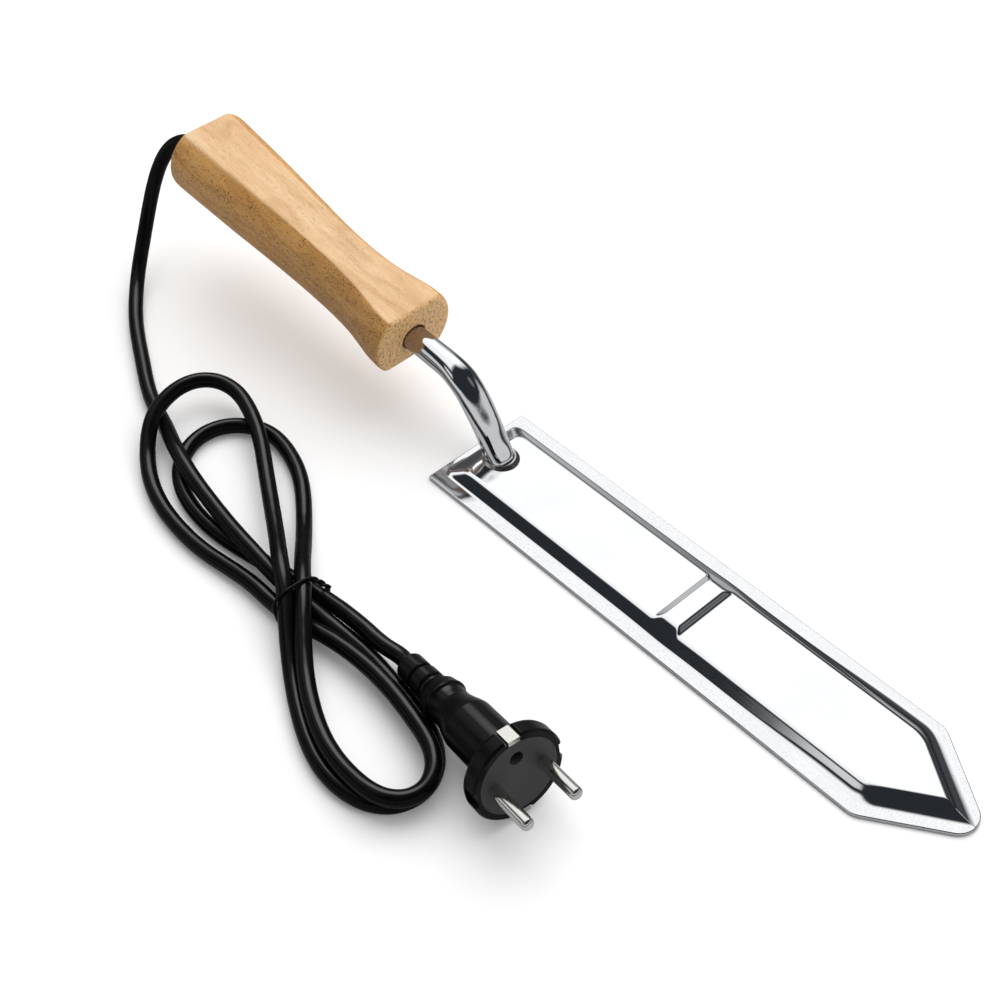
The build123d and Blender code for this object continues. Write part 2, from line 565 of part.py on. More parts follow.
# Outside of the plug: distance along the axis, radius.
PLUG_PROFILE = [
    (0.0, PLUG_BORE_R), (0.0, 4.5), (0.35, 5.0), (1.0, 5.3), (6.7, 5.45), (7.3, 5.2),
    (7.6, 4.5), (8.5, 4.5), (8.7, 5.3), (9.3, 5.75), (13.5, 5.85), (14.1, 5.5),
    (14.3, 4.6), (15.0, 4.6), (15.15, 5.7), (15.5, 6.05), (16.6, 6.05), (17.0, 5.7),
    (17.15, 4.9), (17.9, 4.9), (18.15, 6.4), (18.6, 7.3), (19.1, 7.65), (20.0, 7.85),
    (21.0, 8.02), (22.0, 8.25), (22.8, 8.45), (23.4, 8.45), (23.8, 8.1), (24.2, 7.7),
    (26.0, 7.5), (28.4, 7.5), (30.2, 7.8), (32.4, 8.4), (34.6, 9.1), (36.6, 9.6),
    (37.4, 9.72), (FACE - 10.0, 10.0), (FACE - 8.8, 10.9), (FACE - 7.9, 13.2),
    (FACE - 7.1, 16.2), (FACE - 6.3, 17.35), (FACE - 5.3, FLANGE_R), (FACE - 0.8, FLANGE_R),
    (FACE, 17.0), (FACE, RECESS_R),
]


def plug_cylinder(start, end, radius, x=0.0, y=0.0):
    offset = PLUG_REAR + PLUG_ACROSS * x + PLUG_UP * y
    return cylinder_between(offset + PLUG_AXIS * start, offset + PLUG_AXIS * end, radius)


def make_plug_body():
    cavity = [(RECESS_R, FACE - RECESS_DEPTH), (SOCKET_R, FACE - RECESS_DEPTH),
              (SOCKET_R, FACE - SOCKET_DEPTH), (PLUG_BORE_R, FACE - SOCKET_DEPTH)]
    outline = [(radius, along) for along, radius in PLUG_PROFILE] + cavity
    body = revolve(Plane.XZ * make_face(Polyline(*outline, close=True)), Axis.Z)
    # side notches, then the earth strip recesses above and below
    for side in (-1, 1):
        body -= Pos(side * 17.6, 0, FACE - 2.4) * Box(3.0, 6.4, 5.4)
        body -= Pos(0, side * 17.0, FACE - 3.0) * Box(6.6, 1.6, 8.0)
        body -= Pos(0, side * 16.4, FACE - 0.1) * Box(5.2, 3.2, 1.0)
    return PLUG * body


def make_carrier():
    carrier = Pos(0, 0, FACE - 2.0) * Cylinder(RECESS_R - CARRIER_GAP, 3.9)
    carrier += Pos(0, 0, FACE - 11.8) * Cylinder(SOCKET_R - CARRIER_GAP, 15.8)
    for side in (-1, 1):
        carrier -= Pos(side * PIN_SPACING / 2, 0, FACE - 2.0) * Cylinder(PIN_ROOT_R + 0.02, 4.2)
    # round hole above the centre
    carrier -= Pos(0, 8.4, FACE - 3.5) * Cylinder(2.6, 8)
    return PLUG * carrier


def make_pins():
    base = (Align.CENTER, Align.CENTER, Align.MIN)
    pin = Cylinder(PIN_R, PIN_L, align=base)
    pin = fillet(pin.edges().sort_by(Axis.Z)[-1:], 1.6)
    pin += Pos(0, 0, -3.8) * Cylinder(PIN_ROOT_R, 3.9, align=base)
    return Compound(children=[PLUG * (Pos(side * PIN_SPACING / 2, 0, FACE) * pin)
                              for side in (-1, 1)])


def make_earth_clip(side):
    """L-shaped strip at the top (side 1) or bottom (side -1) of the flange."""
    clip = Pos(0, side * 16.9, FACE - 3.0) * Box(4.4, 0.8, 6.6)
    clip += Pos(0, side * 16.35, FACE) * Box(4.4, 1.9, 0.5)
    return PLUG * clip


# ---------------- write the nodes ----------------
stem_space = make_stem_space()
save("blade_plate", make_plate())
save("blade_cover", make_cover(stem_space))
save("stem_tube", make_stem())
save("stem_braze", make_braze(stem_space))
save("wooden_handle", make_handle())
save("handle_screw", make_screw())
save("mica_core", make_core())
save("mica_sheet_lower", make_mica_sheet(1.15))
save("mica_sheet_upper", make_mica_sheet(2.55))
save("heater_winding", make_winding())
save("heater_return", make_return())
save("insulation_pad", Pos(MICA_X, 0, 3.64) * Box(154, 25.4, 1.3))
save("terminal_live", make_eyelet(-TERMINAL_Y, EYELET_BOTTOM, EYELET_TOP["live"]))
save("terminal_neutral", make_eyelet(TERMINAL_Y, EYELET_BOTTOM, EYELET_TOP["neutral"]))
save("earth_tag", make_earth_tag())
save("earth_rivet", Pos(11.5, 0, PLATE_T + 0.74) * Cylinder(1.6, 0.55))
for wire, offset in PLUG_CORE_OFFSET.items():
    save("lead_" + wire, make_lead(wire))
    save("splice_" + wire, make_splice(wire))
    save("cord_core_" + wire, make_cord_core(wire))
    save("plug_core_" + wire, plug_cylinder(30.1, FACE - SOCKET_DEPTH - 0.1, CORE_R, *offset))
save("cord_end_handle", handle_cylinder(84.1, 134.6, CORD_R))
save("cord_grip", make_cord_grip())
save("cord_hank", rod(CORD_POINTS, CORD_R, 280, ruled=True))
save("twist_tie", make_tie())
save("plug_body", make_plug_body())
save("plug_carrier", make_carrier())
save("plug_pins", make_pins())
save("plug_earth_clips", Compound(children=[make_earth_clip(1), make_earth_clip(-1)]))
save("cord_end_plug", plug_cylinder(-1.0, 30.0, CORD_R))
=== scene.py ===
"""Electrically heated knife: blade, stem, wooden handle, tied hank of cord and mains plug.

The blade lies along +X with its flat face up (+Z), heel at x = -16 and tip near x = 225.
The handle runs back towards -X and rises. The hank lies on the -Y side, and the cord
enters the plug heading towards +X. Shapes are in millimetres, brought to metres as each
mesh is made. Materials, floor, lights and camera are in metres.
"""
import bpy
import bmesh
import math
import random
import numpy as np
from mathutils import Matrix, Vector


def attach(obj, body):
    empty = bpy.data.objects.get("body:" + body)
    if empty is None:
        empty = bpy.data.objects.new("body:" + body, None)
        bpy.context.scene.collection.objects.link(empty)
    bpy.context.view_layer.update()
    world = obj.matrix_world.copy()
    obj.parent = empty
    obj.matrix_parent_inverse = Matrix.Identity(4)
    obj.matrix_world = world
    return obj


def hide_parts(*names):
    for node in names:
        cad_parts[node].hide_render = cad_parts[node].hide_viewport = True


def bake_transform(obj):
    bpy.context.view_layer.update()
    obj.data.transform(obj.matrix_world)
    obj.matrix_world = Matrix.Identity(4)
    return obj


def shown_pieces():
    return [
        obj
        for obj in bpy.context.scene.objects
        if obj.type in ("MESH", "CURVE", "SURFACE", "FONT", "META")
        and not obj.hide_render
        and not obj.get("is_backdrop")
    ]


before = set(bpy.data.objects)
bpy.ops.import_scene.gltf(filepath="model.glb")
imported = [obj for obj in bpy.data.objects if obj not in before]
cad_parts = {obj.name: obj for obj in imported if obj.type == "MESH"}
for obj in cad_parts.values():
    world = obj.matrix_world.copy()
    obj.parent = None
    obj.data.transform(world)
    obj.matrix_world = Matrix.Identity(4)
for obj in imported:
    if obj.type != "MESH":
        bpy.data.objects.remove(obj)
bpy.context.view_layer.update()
random.seed(7)
MM = 0.001


# ------------------------------------------------------------------ vectors and curves
def vec(*xyz):
    return np.array(xyz, float)


def unit(v):
    return v / np.linalg.norm(v)


class Spline:
    """Natural cubic spline through points, measured by chord length."""

    def __init__(self, points):
        self.points = np.array(points, float)
        chords = np.diff(self.points, axis=0)
        steps = np.linalg.norm(chords, axis=1)
        slopes = chords / steps[:, None]
        self.knots = np.concatenate([[0], np.cumsum(steps)])
        self.length = self.knots[-1]
        count = len(self.points)
        system = np.zeros((count, count))
        target = np.zeros((count, 3))
        system[0, 0] = system[-1, -1] = 1
        for i in range(1, count - 1):
            system[i, i - 1:i + 2] = steps[i - 1], 2 * (steps[i - 1] + steps[i]), steps[i]
            target[i] = 6 * (slopes[i] - slopes[i - 1])
        self.bends = np.linalg.solve(system, target)   # second derivatives

    def __call__(self, s):
        i = np.searchsorted(self.knots, s, side="right") - 1
        i = np.clip(i, 0, len(self.points) - 2)
        step = (self.knots[i + 1] - self.knots[i])[:, None]
        a = (self.knots[i + 1] - s)[:, None] / step
        b = 1 - a
        bend = (a**3 - a) * self.bends[i] + (b**3 - b) * self.bends[i + 1]
        return a * self.points[i] + b * self.points[i + 1] + bend * step * step / 6


def side_vectors(centres):
    """Two untwisted side vectors at each sampled point."""
    tangents = np.gradient(centres, axis=0)
    tangents /= np.linalg.norm(tangents, axis=1)[:, None]
    steep = abs(tangents[0][2]) >= 0.9
    side = np.cross(tangents[0], [1.0, 0, 0] if steep else [0, 0, 1.0])
    sides = []
    for tangent in tangents:
        side = unit(side - tangent * side.dot(tangent))
        sides.append(side)
    return np.array(sides), np.cross(tangents, sides)


# ------------------------------------------------------------------ mesh builders
def add_object(name, data):
    obj = bpy.data.objects.new(name, data)
    bpy.context.scene.collection.objects.link(obj)
    return obj


def mesh_object(name, verts_mm, faces, material, crisp=None):
    """Smooth-shaded mesh; edges sharper than `crisp` degrees stay hard."""
    mesh = bpy.data.meshes.new(name)
    mesh.from_pydata([tuple(np.asarray(v) * MM) for v in verts_mm], [], faces)
    mesh.validate()
    bm = bmesh.new()
    bm.from_mesh(mesh)
    bmesh.ops.recalc_face_normals(bm, faces=bm.faces)
    bm.to_mesh(mesh)
    bm.free()
    for face in mesh.polygons:
        face.use_smooth = True
    mesh.materials.append(material)
    obj = add_object(name, mesh)
    if crisp is not None:
        mesh.set_sharp_from_angle(angle=math.radians(crisp))
    return obj


def skin(rings, cap_start=False, cap_end=False):
    """Faces between closed rings of equal count, with a fan at each capped end."""
    verts = [p for ring in rings for p in ring]
    n = len(rings[0])
    faces = []
    for i in range(len(rings) - 1):
        for j in range(n):
            k = (j + 1) % n
            faces.append((i * n + j, i * n + k, (i + 1) * n + k, (i + 1) * n + j))
    for capped, i in ((cap_start, 0), (cap_end, len(rings) - 1)):
        if capped:
            centre = len(verts)
            verts.append(np.mean(rings[i], axis=0))
            faces += [(i * n + j, i * n + (j + 1) % n, centre) for j in range(n)]
    return verts, faces


def full_turn(count):
    return np.arange(count) * 2 * math.pi / count


def round_ring(centre, side, other, radius, angles):
    return (centre + np.outer(radius * np.cos(angles), side)
            + np.outer(radius * np.sin(angles), other))


# ------------------------------------------------------------------ node building
class Graph:
    """Node tree with short calls. Each call adds a node and returns its output."""

    def __init__(self, tree):
        self.tree = tree
        tree.nodes.clear()

    def feed(self, socket, value):
        if isinstance(value, bpy.types.NodeSocket):
            self.tree.links.new(value, socket)
        else:
            socket.default_value = (*value, 1) if socket.type == "RGBA" else value

    def node(self, kind, inputs=None, **settings):
        node = self.tree.nodes.new(kind)
        for key, value in settings.items():
            setattr(node, key, value)
        for key, value in (inputs or {}).items():
            if value is not None:
                self.feed(node.inputs[key], value)
        return node

    def math(self, operation, a, b=None, clamp=False):
        return self.node("ShaderNodeMath", {0: a, 1: b}, operation=operation,
                         use_clamp=clamp).outputs[0]

    def add(self, a, b):
        return self.math("ADD", a, b)

    def sub(self, a, b):
        return self.math("SUBTRACT", a, b)

    def mul(self, a, b, clamp=False):
        return self.math("MULTIPLY", a, b, clamp)

    def max(self, a, b, clamp=False):
        return self.math("MAXIMUM", a, b, clamp)

    def vmath(self, operation, a, b=None):
        return self.node("ShaderNodeVectorMath", {0: a, 1: b}, operation=operation).outputs

    def dot(self, vector, axis):
        return self.vmath("DOT_PRODUCT", vector, tuple(axis))["Value"]

    def separate(self, vector):
        return self.node("ShaderNodeSeparateXYZ", {0: vector}).outputs

    def remap(self, value, span, to=(0, 1), ease="LINEAR"):
        """Carries the range `span` onto the range `to`, held at both ends."""
        return self.node("ShaderNodeMapRange", {0: value, 1: span[0], 2: span[1], 3: to[0],
                                                4: to[1]}, interpolation_type=ease).outputs[0]

    def mix_shader(self, factor, a, b):
        return self.node("ShaderNodeMixShader", {0: factor, 1: a, 2: b}).outputs[0]


class Material(Graph):
    """Principled material; textures use object coordinates unless told otherwise."""

    def __init__(self, name):
        self.material = bpy.data.materials.new(name)
        self.material.use_nodes = True
        super().__init__(self.material.node_tree)
        self.output = self.node("ShaderNodeOutputMaterial")
        self.shader = self.node("ShaderNodeBsdfPrincipled")
        self.feed(self.output.inputs[0], self.shader.outputs[0])
        self.coords = self.node("ShaderNodeTexCoord").outputs
        self.obj = self.coords["Object"]

    def set(self, **inputs):
        for key, value in inputs.items():
            self.feed(self.shader.inputs[key.replace("_", " ")], value)
        return self.material

    def scaled(self, vector, scale):
        return self.node("ShaderNodeMapping", {"Vector": vector, "Scale": scale}).outputs[0]

    def noise(self, scale, detail, rough, at=None):
        return self.node("ShaderNodeTexNoise", {"Vector": at or self.obj, "Scale": scale,
                                                "Detail": detail, "Roughness": rough}).outputs[0]

    def voronoi(self, scale):
        return self.node("ShaderNodeTexVoronoi",
                         {"Vector": self.obj, "Scale": scale}).outputs["Distance"]

    def ramp(self, factor, stops):
        node = self.node("ShaderNodeValToRGB", {0: factor})
        for element, (position, colour) in zip(node.color_ramp.elements, stops):
            element.position = position
            element.color = (*colour, 1)
        return node.outputs["Color"]

    def mix(self, factor, a, b, blend="MIX"):
        return self.node("ShaderNodeMix", {0: factor, 6: a, 7: b}, data_type="RGBA",
                         blend_type=blend).outputs[2]

    def tint(self, colour, by):
        return self.mix(1.0, colour, by, "MULTIPLY")

    def bump(self, height, strength, distance, below=None):
        return self.node("ShaderNodeBump", {"Strength": strength, "Distance": distance,
                                            "Height": height, "Normal": below}).outputs[0]


def srgb(*channels):
    """Linear colour from 0-255 display values."""
    levels = [c / 255.0 for c in channels]
    return tuple(c / 12.92 if c <= 0.04045 else ((c + 0.055) / 1.055) ** 2.4 for c in levels)


def shade(colour, factor):
    return tuple(c * factor for c in colour)


# ------------------------------------------------------------------ materials
SOFTBOX = unit(vec(-0.45, 0.50, 0.74))    # direction of the main light


def bright_steel(name, tone, rough, wave, speck, axis=(8, 260, 260), flange=False):
    """Polished metal: fine lines stretched by `axis`, waviness, haze and pits.

    `rough` is the roughness range, `speck` the strength of the pits, and `flange`
    dulls everything below the foot of the blade walls.
    """
    m = Material(name)
    lines = m.noise(scale=10, detail=3, rough=0.6, at=m.scaled(m.obj, axis))
    haze = m.noise(scale=55, detail=4, rough=0.6)
    pit = m.remap(m.voronoi(scale=900), span=(0.02, 0.09), to=(1, 0))
    patch = m.noise(scale=130, detail=2, rough=0.5)
    pit = m.mul(pit, m.remap(patch, span=(0.52, 0.62), to=(0, speck)), clamp=True)
    colour = m.mix(m.remap(haze, span=(0.3, 0.7), to=(0, 0.35)), tone, shade(tone, 0.86))
    if flange:
        height = m.separate(m.obj)[2]
        low = m.remap(height, span=(0.00152, 0.00165), to=(1, 0))
        grain = m.noise(scale=1700, detail=2, rough=0.7)
        grain = m.remap(grain, span=(0.47, 0.66), to=(0.07, 0.25))
        colour = m.mix(m.mul(low, grain), colour, (0.30, 0.30, 0.31))
    colour = m.mix(pit, colour, (0.22, 0.22, 0.23))
    roughness = m.add(m.remap(lines, span=(0.3, 0.75), to=rough), m.mul(pit, 0.4))
    waves = m.noise(scale=38, detail=1, rough=0.4)
    relief = m.bump(waves, strength=wave, distance=0.0006)
    relief = m.bump(lines, strength=0.03, distance=0.00008, below=relief)
    relief = m.bump(pit, strength=0.25, distance=0.00005, below=relief)
    return m.set(Base_Color=colour, Metallic=1.0, Roughness=roughness, Normal=relief)


# Handle axes: distance along from the front end, sideways (y), and up square to it.
TILT = math.radians(8.2)
HANDLE_ALONG = vec(-math.cos(TILT), 0, math.sin(TILT))
HANDLE_UP = vec(math.sin(TILT), 0, math.cos(TILT))
HANDLE_FRONT = vec(-50.7, 0, 36.3)
HANDLE_LENGTH = 135.0


def on_handle(along, y=0.0, up=0.0):
    return HANDLE_FRONT + HANDLE_ALONG * along + vec(0, y, 0) + HANDLE_UP * up


def wood(name):
    """Pale hardwood: long grain along the handle, short dark pores, end grain on the ends."""
    m = Material(name)
    place = m.vmath("SUBTRACT", m.scaled(m.obj, (1 / MM,) * 3), tuple(HANDLE_FRONT))["Vector"]
    along = m.dot(place, HANDLE_ALONG)
    up = m.dot(place, HANDLE_UP)
    y = m.dot(place, (0, 1, 0))
    grain = m.node("ShaderNodeCombineXYZ", {0: along, 1: y, 2: up}).outputs[0]

    def figure(stretch, detail, rough):
        """Noise in cycles per mm along, across and up the handle."""
        return m.noise(scale=1, detail=detail, rough=rough, at=m.scaled(grain, stretch))

    def facing_up():
        normal = m.node("ShaderNodeNewGeometry").outputs["Normal"]
        return m.dot(normal, HANDLE_UP)

    # slow colour change, and growth layers that drift across the blank
    slow = figure((0.012, 0.09, 0.09), detail=3, rough=0.55)
    drift = m.mul(figure((0.012, 0.05, 0.05), detail=2, rough=0.5), 26.0)
    layer = m.add(m.add(m.mul(up, 0.55), m.mul(y, 0.30)), drift)
    layers = m.math("SINE", m.mul(layer, 1.5))
    fibre = figure((0.10, 2.2, 2.2), detail=4, rough=0.65)
    light, mid, dark = srgb(238, 203, 160), srgb(224, 182, 132), srgb(196, 148, 98)
    colour = m.ramp(slow, [(0.30, mid), (0.62, light)])
    colour = m.mix(m.remap(layers, span=(0.1, 1.0), to=(0, 0.38)), colour, dark)
    colour = m.mix(m.remap(fibre, span=(0.42, 0.72), to=(0, 0.42)), colour, dark)

    # three sizes of pore, denser in patches and sparser on the top face
    long_pores = figure((0.34, 3.4, 3.4), detail=2, rough=0.5)
    fine_pores = figure((0.55, 5.2, 5.2), detail=1, rough=0.5)
    field = figure((0.05, 0.16, 0.16), detail=2, rough=0.5)
    extra = m.remap(field, span=(0.35, 0.65), to=(0, 0.07))
    long_pores = m.remap(m.add(long_pores, extra), span=(0.665, 0.715))
    fine_pores = m.remap(m.add(fine_pores, extra), span=(0.69, 0.735), to=(0, 0.75))
    short_pores = figure((0.85, 2.3, 2.3), detail=1, rough=0.5)
    clump = figure((0.09, 0.22, 0.22), detail=2, rough=0.5)
    clump = m.remap(clump, span=(0.44, 0.62), to=(0, 0.085))
    thinned = m.remap(facing_up(), span=(0.70, 0.95), to=(0, 0.075))
    short_pores = m.sub(m.add(short_pores, clump), thinned)
    short_pores = m.remap(short_pores, span=(0.665, 0.705))
    pore = m.max(m.max(long_pores, fine_pores), short_pores, clamp=True)
    pore = m.mul(pore, m.remap(facing_up(), span=(0.80, 0.95), to=(1, 0.45)))
    colour = m.mix(m.mul(pore, 0.88), colour, srgb(104, 64, 32))

    # soft handling marks, and painted shade: deeper colour on the faces turned away from the top
    # face
    handled = figure((0.03, 0.05, 0.05), detail=3, rough=0.6)
    handled = m.remap(handled, span=(0.5, 0.75), to=(0, 0.22))
    colour = m.mix(handled, colour, srgb(206, 160, 112))
    # painted shade: the sides and underside are darkened by their angle to the top face,
    # standing in for less light falling on them
    painted_side_shade = m.remap(facing_up(), span=(0.80, 0.95), to=(1, 0))
    colour = m.mix(m.mul(painted_side_shade, 0.88), colour, m.tint(colour, (0.815, 0.62, 0.285)))

    # end grain; the back end shows less of it
    front = m.remap(along, span=(0.15, 1.1), to=(1, 0))
    back = m.remap(along, span=(HANDLE_LENGTH - 0.9, HANDLE_LENGTH - 0.1))
    ends = m.max(front, back, clamp=True)
    colour = m.mix(m.mul(ends, 0.85), colour, srgb(242, 195, 132))
    dark_fleck = m.remap(figure((0.8, 0.85, 0.85), detail=3, rough=0.7), span=(0.50, 0.60))
    pale_fleck = m.remap(figure((0.7, 1.05, 1.05), detail=2, rough=0.6), span=(0.53, 0.62))
    flecked = m.max(front, m.mul(back, 0.35), clamp=True)
    colour = m.mix(m.mul(flecked, m.mul(pale_fleck, 0.55)), colour, srgb(244, 214, 172))
    colour = m.mix(m.mul(flecked, m.mul(dark_fleck, 0.66)), colour, srgb(124, 84, 48))

    # darker in reflections, and greyer the longer the reflected ray
    ray = m.node("ShaderNodeLightPath").outputs
    glossy = ray["Is Glossy Ray"]
    distant = m.mul(glossy, m.remap(ray["Ray Length"], span=(0.020, 0.036)))
    colour = m.mix(glossy, colour, m.tint(colour, (0.50, 0.42, 0.36)))
    grey = m.tint(m.mix(0.75, colour, (0.35, 0.35, 0.36)), (0.62, 0.62, 0.63))
    colour = m.mix(distant, colour, grey)

    roughness = m.remap(fibre, span=(0.3, 0.75), to=(0.36, 0.58))
    relief = m.bump(m.sub(fibre, m.mul(pore, 1.6)), strength=0.35, distance=0.00012)
    relief = m.bump(layers, strength=0.05, distance=0.0001, below=relief)
    return m.set(Base_Color=colour, Roughness=roughness, Normal=relief, Coat_Weight=0.12,
                 Coat_Roughness=0.30, Specular_IOR_Level=0.38)


def black_flex(name, base, rough, grain, spec, line):
    """Soft black plastic with haze and fine dust.

    `base` is its darkest level, and `line` adds to `spec` where it mirrors the softbox.
    """
    m = Material(name)
    haze = m.noise(scale=70, detail=4, rough=0.6)
    dust = m.remap(m.noise(scale=1400, detail=2, rough=0.7), span=(0.62, 0.76), to=(0, 0.10))
    fine = m.noise(scale=grain, detail=2, rough=0.6)
    colour = m.mix(m.remap(haze, span=(0.35, 0.7)),
                   (base, base, base * 1.04), (base * 1.7, base * 1.7, base * 1.8))
    colour = m.mix(dust, colour, (0.06, 0.06, 0.062))
    swell = m.noise(scale=240, detail=2, rough=0.5)
    relief = m.bump(swell, strength=0.12, distance=0.0002)
    relief = m.bump(fine, strength=0.22, distance=0.00003, below=relief)
    to_box = m.dot(m.coords["Reflection"], SOFTBOX)
    specular = m.remap(to_box, span=(0.90, 0.985), to=(spec, spec + line))
    return m.set(Base_Color=colour, Roughness=m.remap(haze, span=(0.3, 0.7), to=rough),
                 Normal=relief, Specular_IOR_Level=specular)


def speckled(name, tone, other, scale, rough=(0.5, 0.8), metal=0.0, bump=0.2,
             stretch=(1, 1, 1), depth=0.0001, flakes=None):
    """Two tones broken up by stretched noise; `flakes` is (scale, colour, amount)."""
    m = Material(name)
    grain = m.noise(scale=1, detail=4, rough=0.62, at=m.scaled(m.obj, shade(stretch, scale)))
    cloud = m.noise(scale=90, detail=3, rough=0.6)
    colour = m.mix(m.remap(grain, span=(0.36, 0.66)), tone, other)
    cloud = m.remap(cloud, span=(0.45, 0.75), to=(0, 0.35))
    colour = m.mix(cloud, colour, shade(tone, 0.7))
    if flakes:
        flake_scale, flake_colour, amount = flakes
        flake = m.remap(m.voronoi(flake_scale), span=(0, 0.45), to=(1, 0))
        colour = m.mix(m.mul(flake, amount), colour, flake_colour)
    return m.set(Base_Color=colour, Metallic=metal,
                 Roughness=m.remap(grain, span=(0.3, 0.7), to=rough),
                 Normal=m.bump(grain, strength=bump, distance=depth))


def woven(name, tone, other, pitch=0.0009):
    """Braided sleeving: two crossing sets of strands."""
    m = Material(name)
    x, y, z = m.separate(m.scaled(m.obj, (2 * math.pi / pitch,) * 3))
    rising = m.math("SINE", m.add(x, m.add(y, z)))
    falling = m.math("SINE", m.sub(x, m.add(y, z)))
    height = m.mul(m.add(rising, falling), 0.25)
    colour = m.mix(m.remap(height, span=(-0.4, 0.4)), tone, other)
    soil = m.remap(m.noise(scale=300, detail=3, rough=0.6), span=(0.4, 0.7), to=(0, 0.4))
    colour = m.mix(soil, colour, shade(tone, 0.8))
    return m.set(Base_Color=colour, Roughness=0.8,
                 Normal=m.bump(height, strength=0.5, distance=0.0001), Sheen_Weight=0.2)


# ------------------------------------------------------------------ palette
STEEL = bright_steel("blade_mirror", tone=(0.90, 0.905, 0.915), rough=(0.035, 0.10),
                     wave=0.10, speck=0.5, flange=True)
STEEL_EDGE = bright_steel("blade_ground", tone=(0.84, 0.845, 0.855), rough=(0.06, 0.16),
                          wave=0.05, speck=0.9)
STEM = bright_steel("stem_polish", tone=(0.88, 0.885, 0.895), rough=(0.03, 0.09),
                    wave=0.14, axis=(60, 300, 60), speck=0.3)
BRAZE = bright_steel("braze_bead", tone=(0.52, 0.50, 0.47), rough=(0.16, 0.34),
                     wave=0.6, axis=(200, 200, 200), speck=1.0)
WOOD = wood("handle_hardwood")
CORD = black_flex("cord_pvc", base=0.0022, rough=(0.22, 0.33), grain=2600, spec=0.11, line=1.1)
TIE = black_flex("tie_coating", base=0.0026, rough=(0.30, 0.44), grain=4200, spec=0.16,
                 line=0.8)
PLUG = black_flex("plug_moulding", base=0.0024, rough=(0.24, 0.36), grain=1500, spec=0.14,
                  line=0.9)

BRASS = {"tone": (0.74, 0.60, 0.34), "other": (0.60, 0.46, 0.24), "rough": (0.22, 0.4),
         "metal": 1.0}
# pieces inside the product: node -> material name and finish
INNER = {
    "mica_core": ("mica_board", dict(
        tone=(0.70, 0.62, 0.44), other=(0.55, 0.47, 0.31), scale=900, rough=(0.35, 0.6),
        flakes=(700, (0.86, 0.80, 0.62), 0.5))),
    "mica_sheet_lower": ("mica_leaf_a", dict(
        tone=(0.74, 0.67, 0.50), other=(0.60, 0.52, 0.36), scale=800, rough=(0.3, 0.55),
        flakes=(600, (0.9, 0.84, 0.68), 0.5))),
    "mica_sheet_upper": ("mica_leaf_b", dict(
        tone=(0.73, 0.66, 0.49), other=(0.58, 0.50, 0.34), scale=820, rough=(0.3, 0.55),
        flakes=(640, (0.9, 0.84, 0.68), 0.5))),
    "heater_winding": ("nichrome_ribbon", dict(
        tone=(0.42, 0.38, 0.35), other=(0.30, 0.26, 0.25), scale=700, rough=(0.3, 0.5),
        metal=0.9, stretch=(1, 0.1, 1))),
    "heater_return": ("nichrome_strip", dict(
        tone=(0.44, 0.40, 0.37), other=(0.30, 0.27, 0.26), scale=700, rough=(0.3, 0.5),
        metal=0.9, stretch=(0.1, 1, 1))),
    "insulation_pad": ("fibre_felt", dict(
        tone=(0.88, 0.87, 0.84), other=(0.74, 0.73, 0.69), scale=1500, rough=(0.85, 1.0),
        bump=0.8, stretch=(0.4, 1, 1), depth=0.0003)),
    "terminal_live": ("eyelet_brass_a", dict(BRASS, scale=900)),
    "terminal_neutral": ("eyelet_brass_b", dict(BRASS, scale=950)),
    "earth_tag": ("tag_zinc", dict(
        tone=(0.62, 0.62, 0.60), other=(0.48, 0.48, 0.46), scale=900, rough=(0.3, 0.5),
        metal=1.0, flakes=(900, (0.75, 0.75, 0.74), 0.5))),
    "earth_rivet": ("rivet_zinc", dict(
        tone=(0.64, 0.64, 0.62), other=(0.50, 0.50, 0.48), scale=1100, rough=(0.28, 0.45),
        metal=1.0)),
    "cord_grip": ("grip_nylon", dict(
        tone=(0.78, 0.77, 0.72), other=(0.70, 0.69, 0.63), scale=700, rough=(0.4, 0.6))),
    "plug_carrier": ("carrier_moulding", dict(
        tone=(0.030, 0.030, 0.032), other=(0.045, 0.045, 0.048), scale=2200,
        rough=(0.42, 0.62), bump=0.35, depth=0.00004)),
}
materials = {node: speckled(name, **finish) for node, (name, finish) in INNER.items()}
CORE_COLOURS = {"live": (0.25, 0.11, 0.05), "neutral": (0.06, 0.17, 0.45),
                "earth": (0.30, 0.45, 0.06)}
for wire in CORE_COLOURS:
    materials["lead_" + wire] = woven("sleeving_" + wire, tone=(0.84, 0.82, 0.74),
                                      other=(0.66, 0.63, 0.54))
    materials["splice_" + wire] = speckled(
        "crimp_" + wire, tone=(0.72, 0.66, 0.50), other=(0.60, 0.54, 0.40), scale=1000,
        rough=(0.25, 0.42), metal=1.0, stretch=(0.3, 1, 1))
for prefix in ("cord_core_", "plug_core_"):
    for wire, colour in CORE_COLOURS.items():
        materials[prefix + wire] = speckled(
            prefix + "skin_" + wire, tone=colour, other=shade(colour, 0.75), scale=500,
            rough=(0.35, 0.5), bump=0.1)

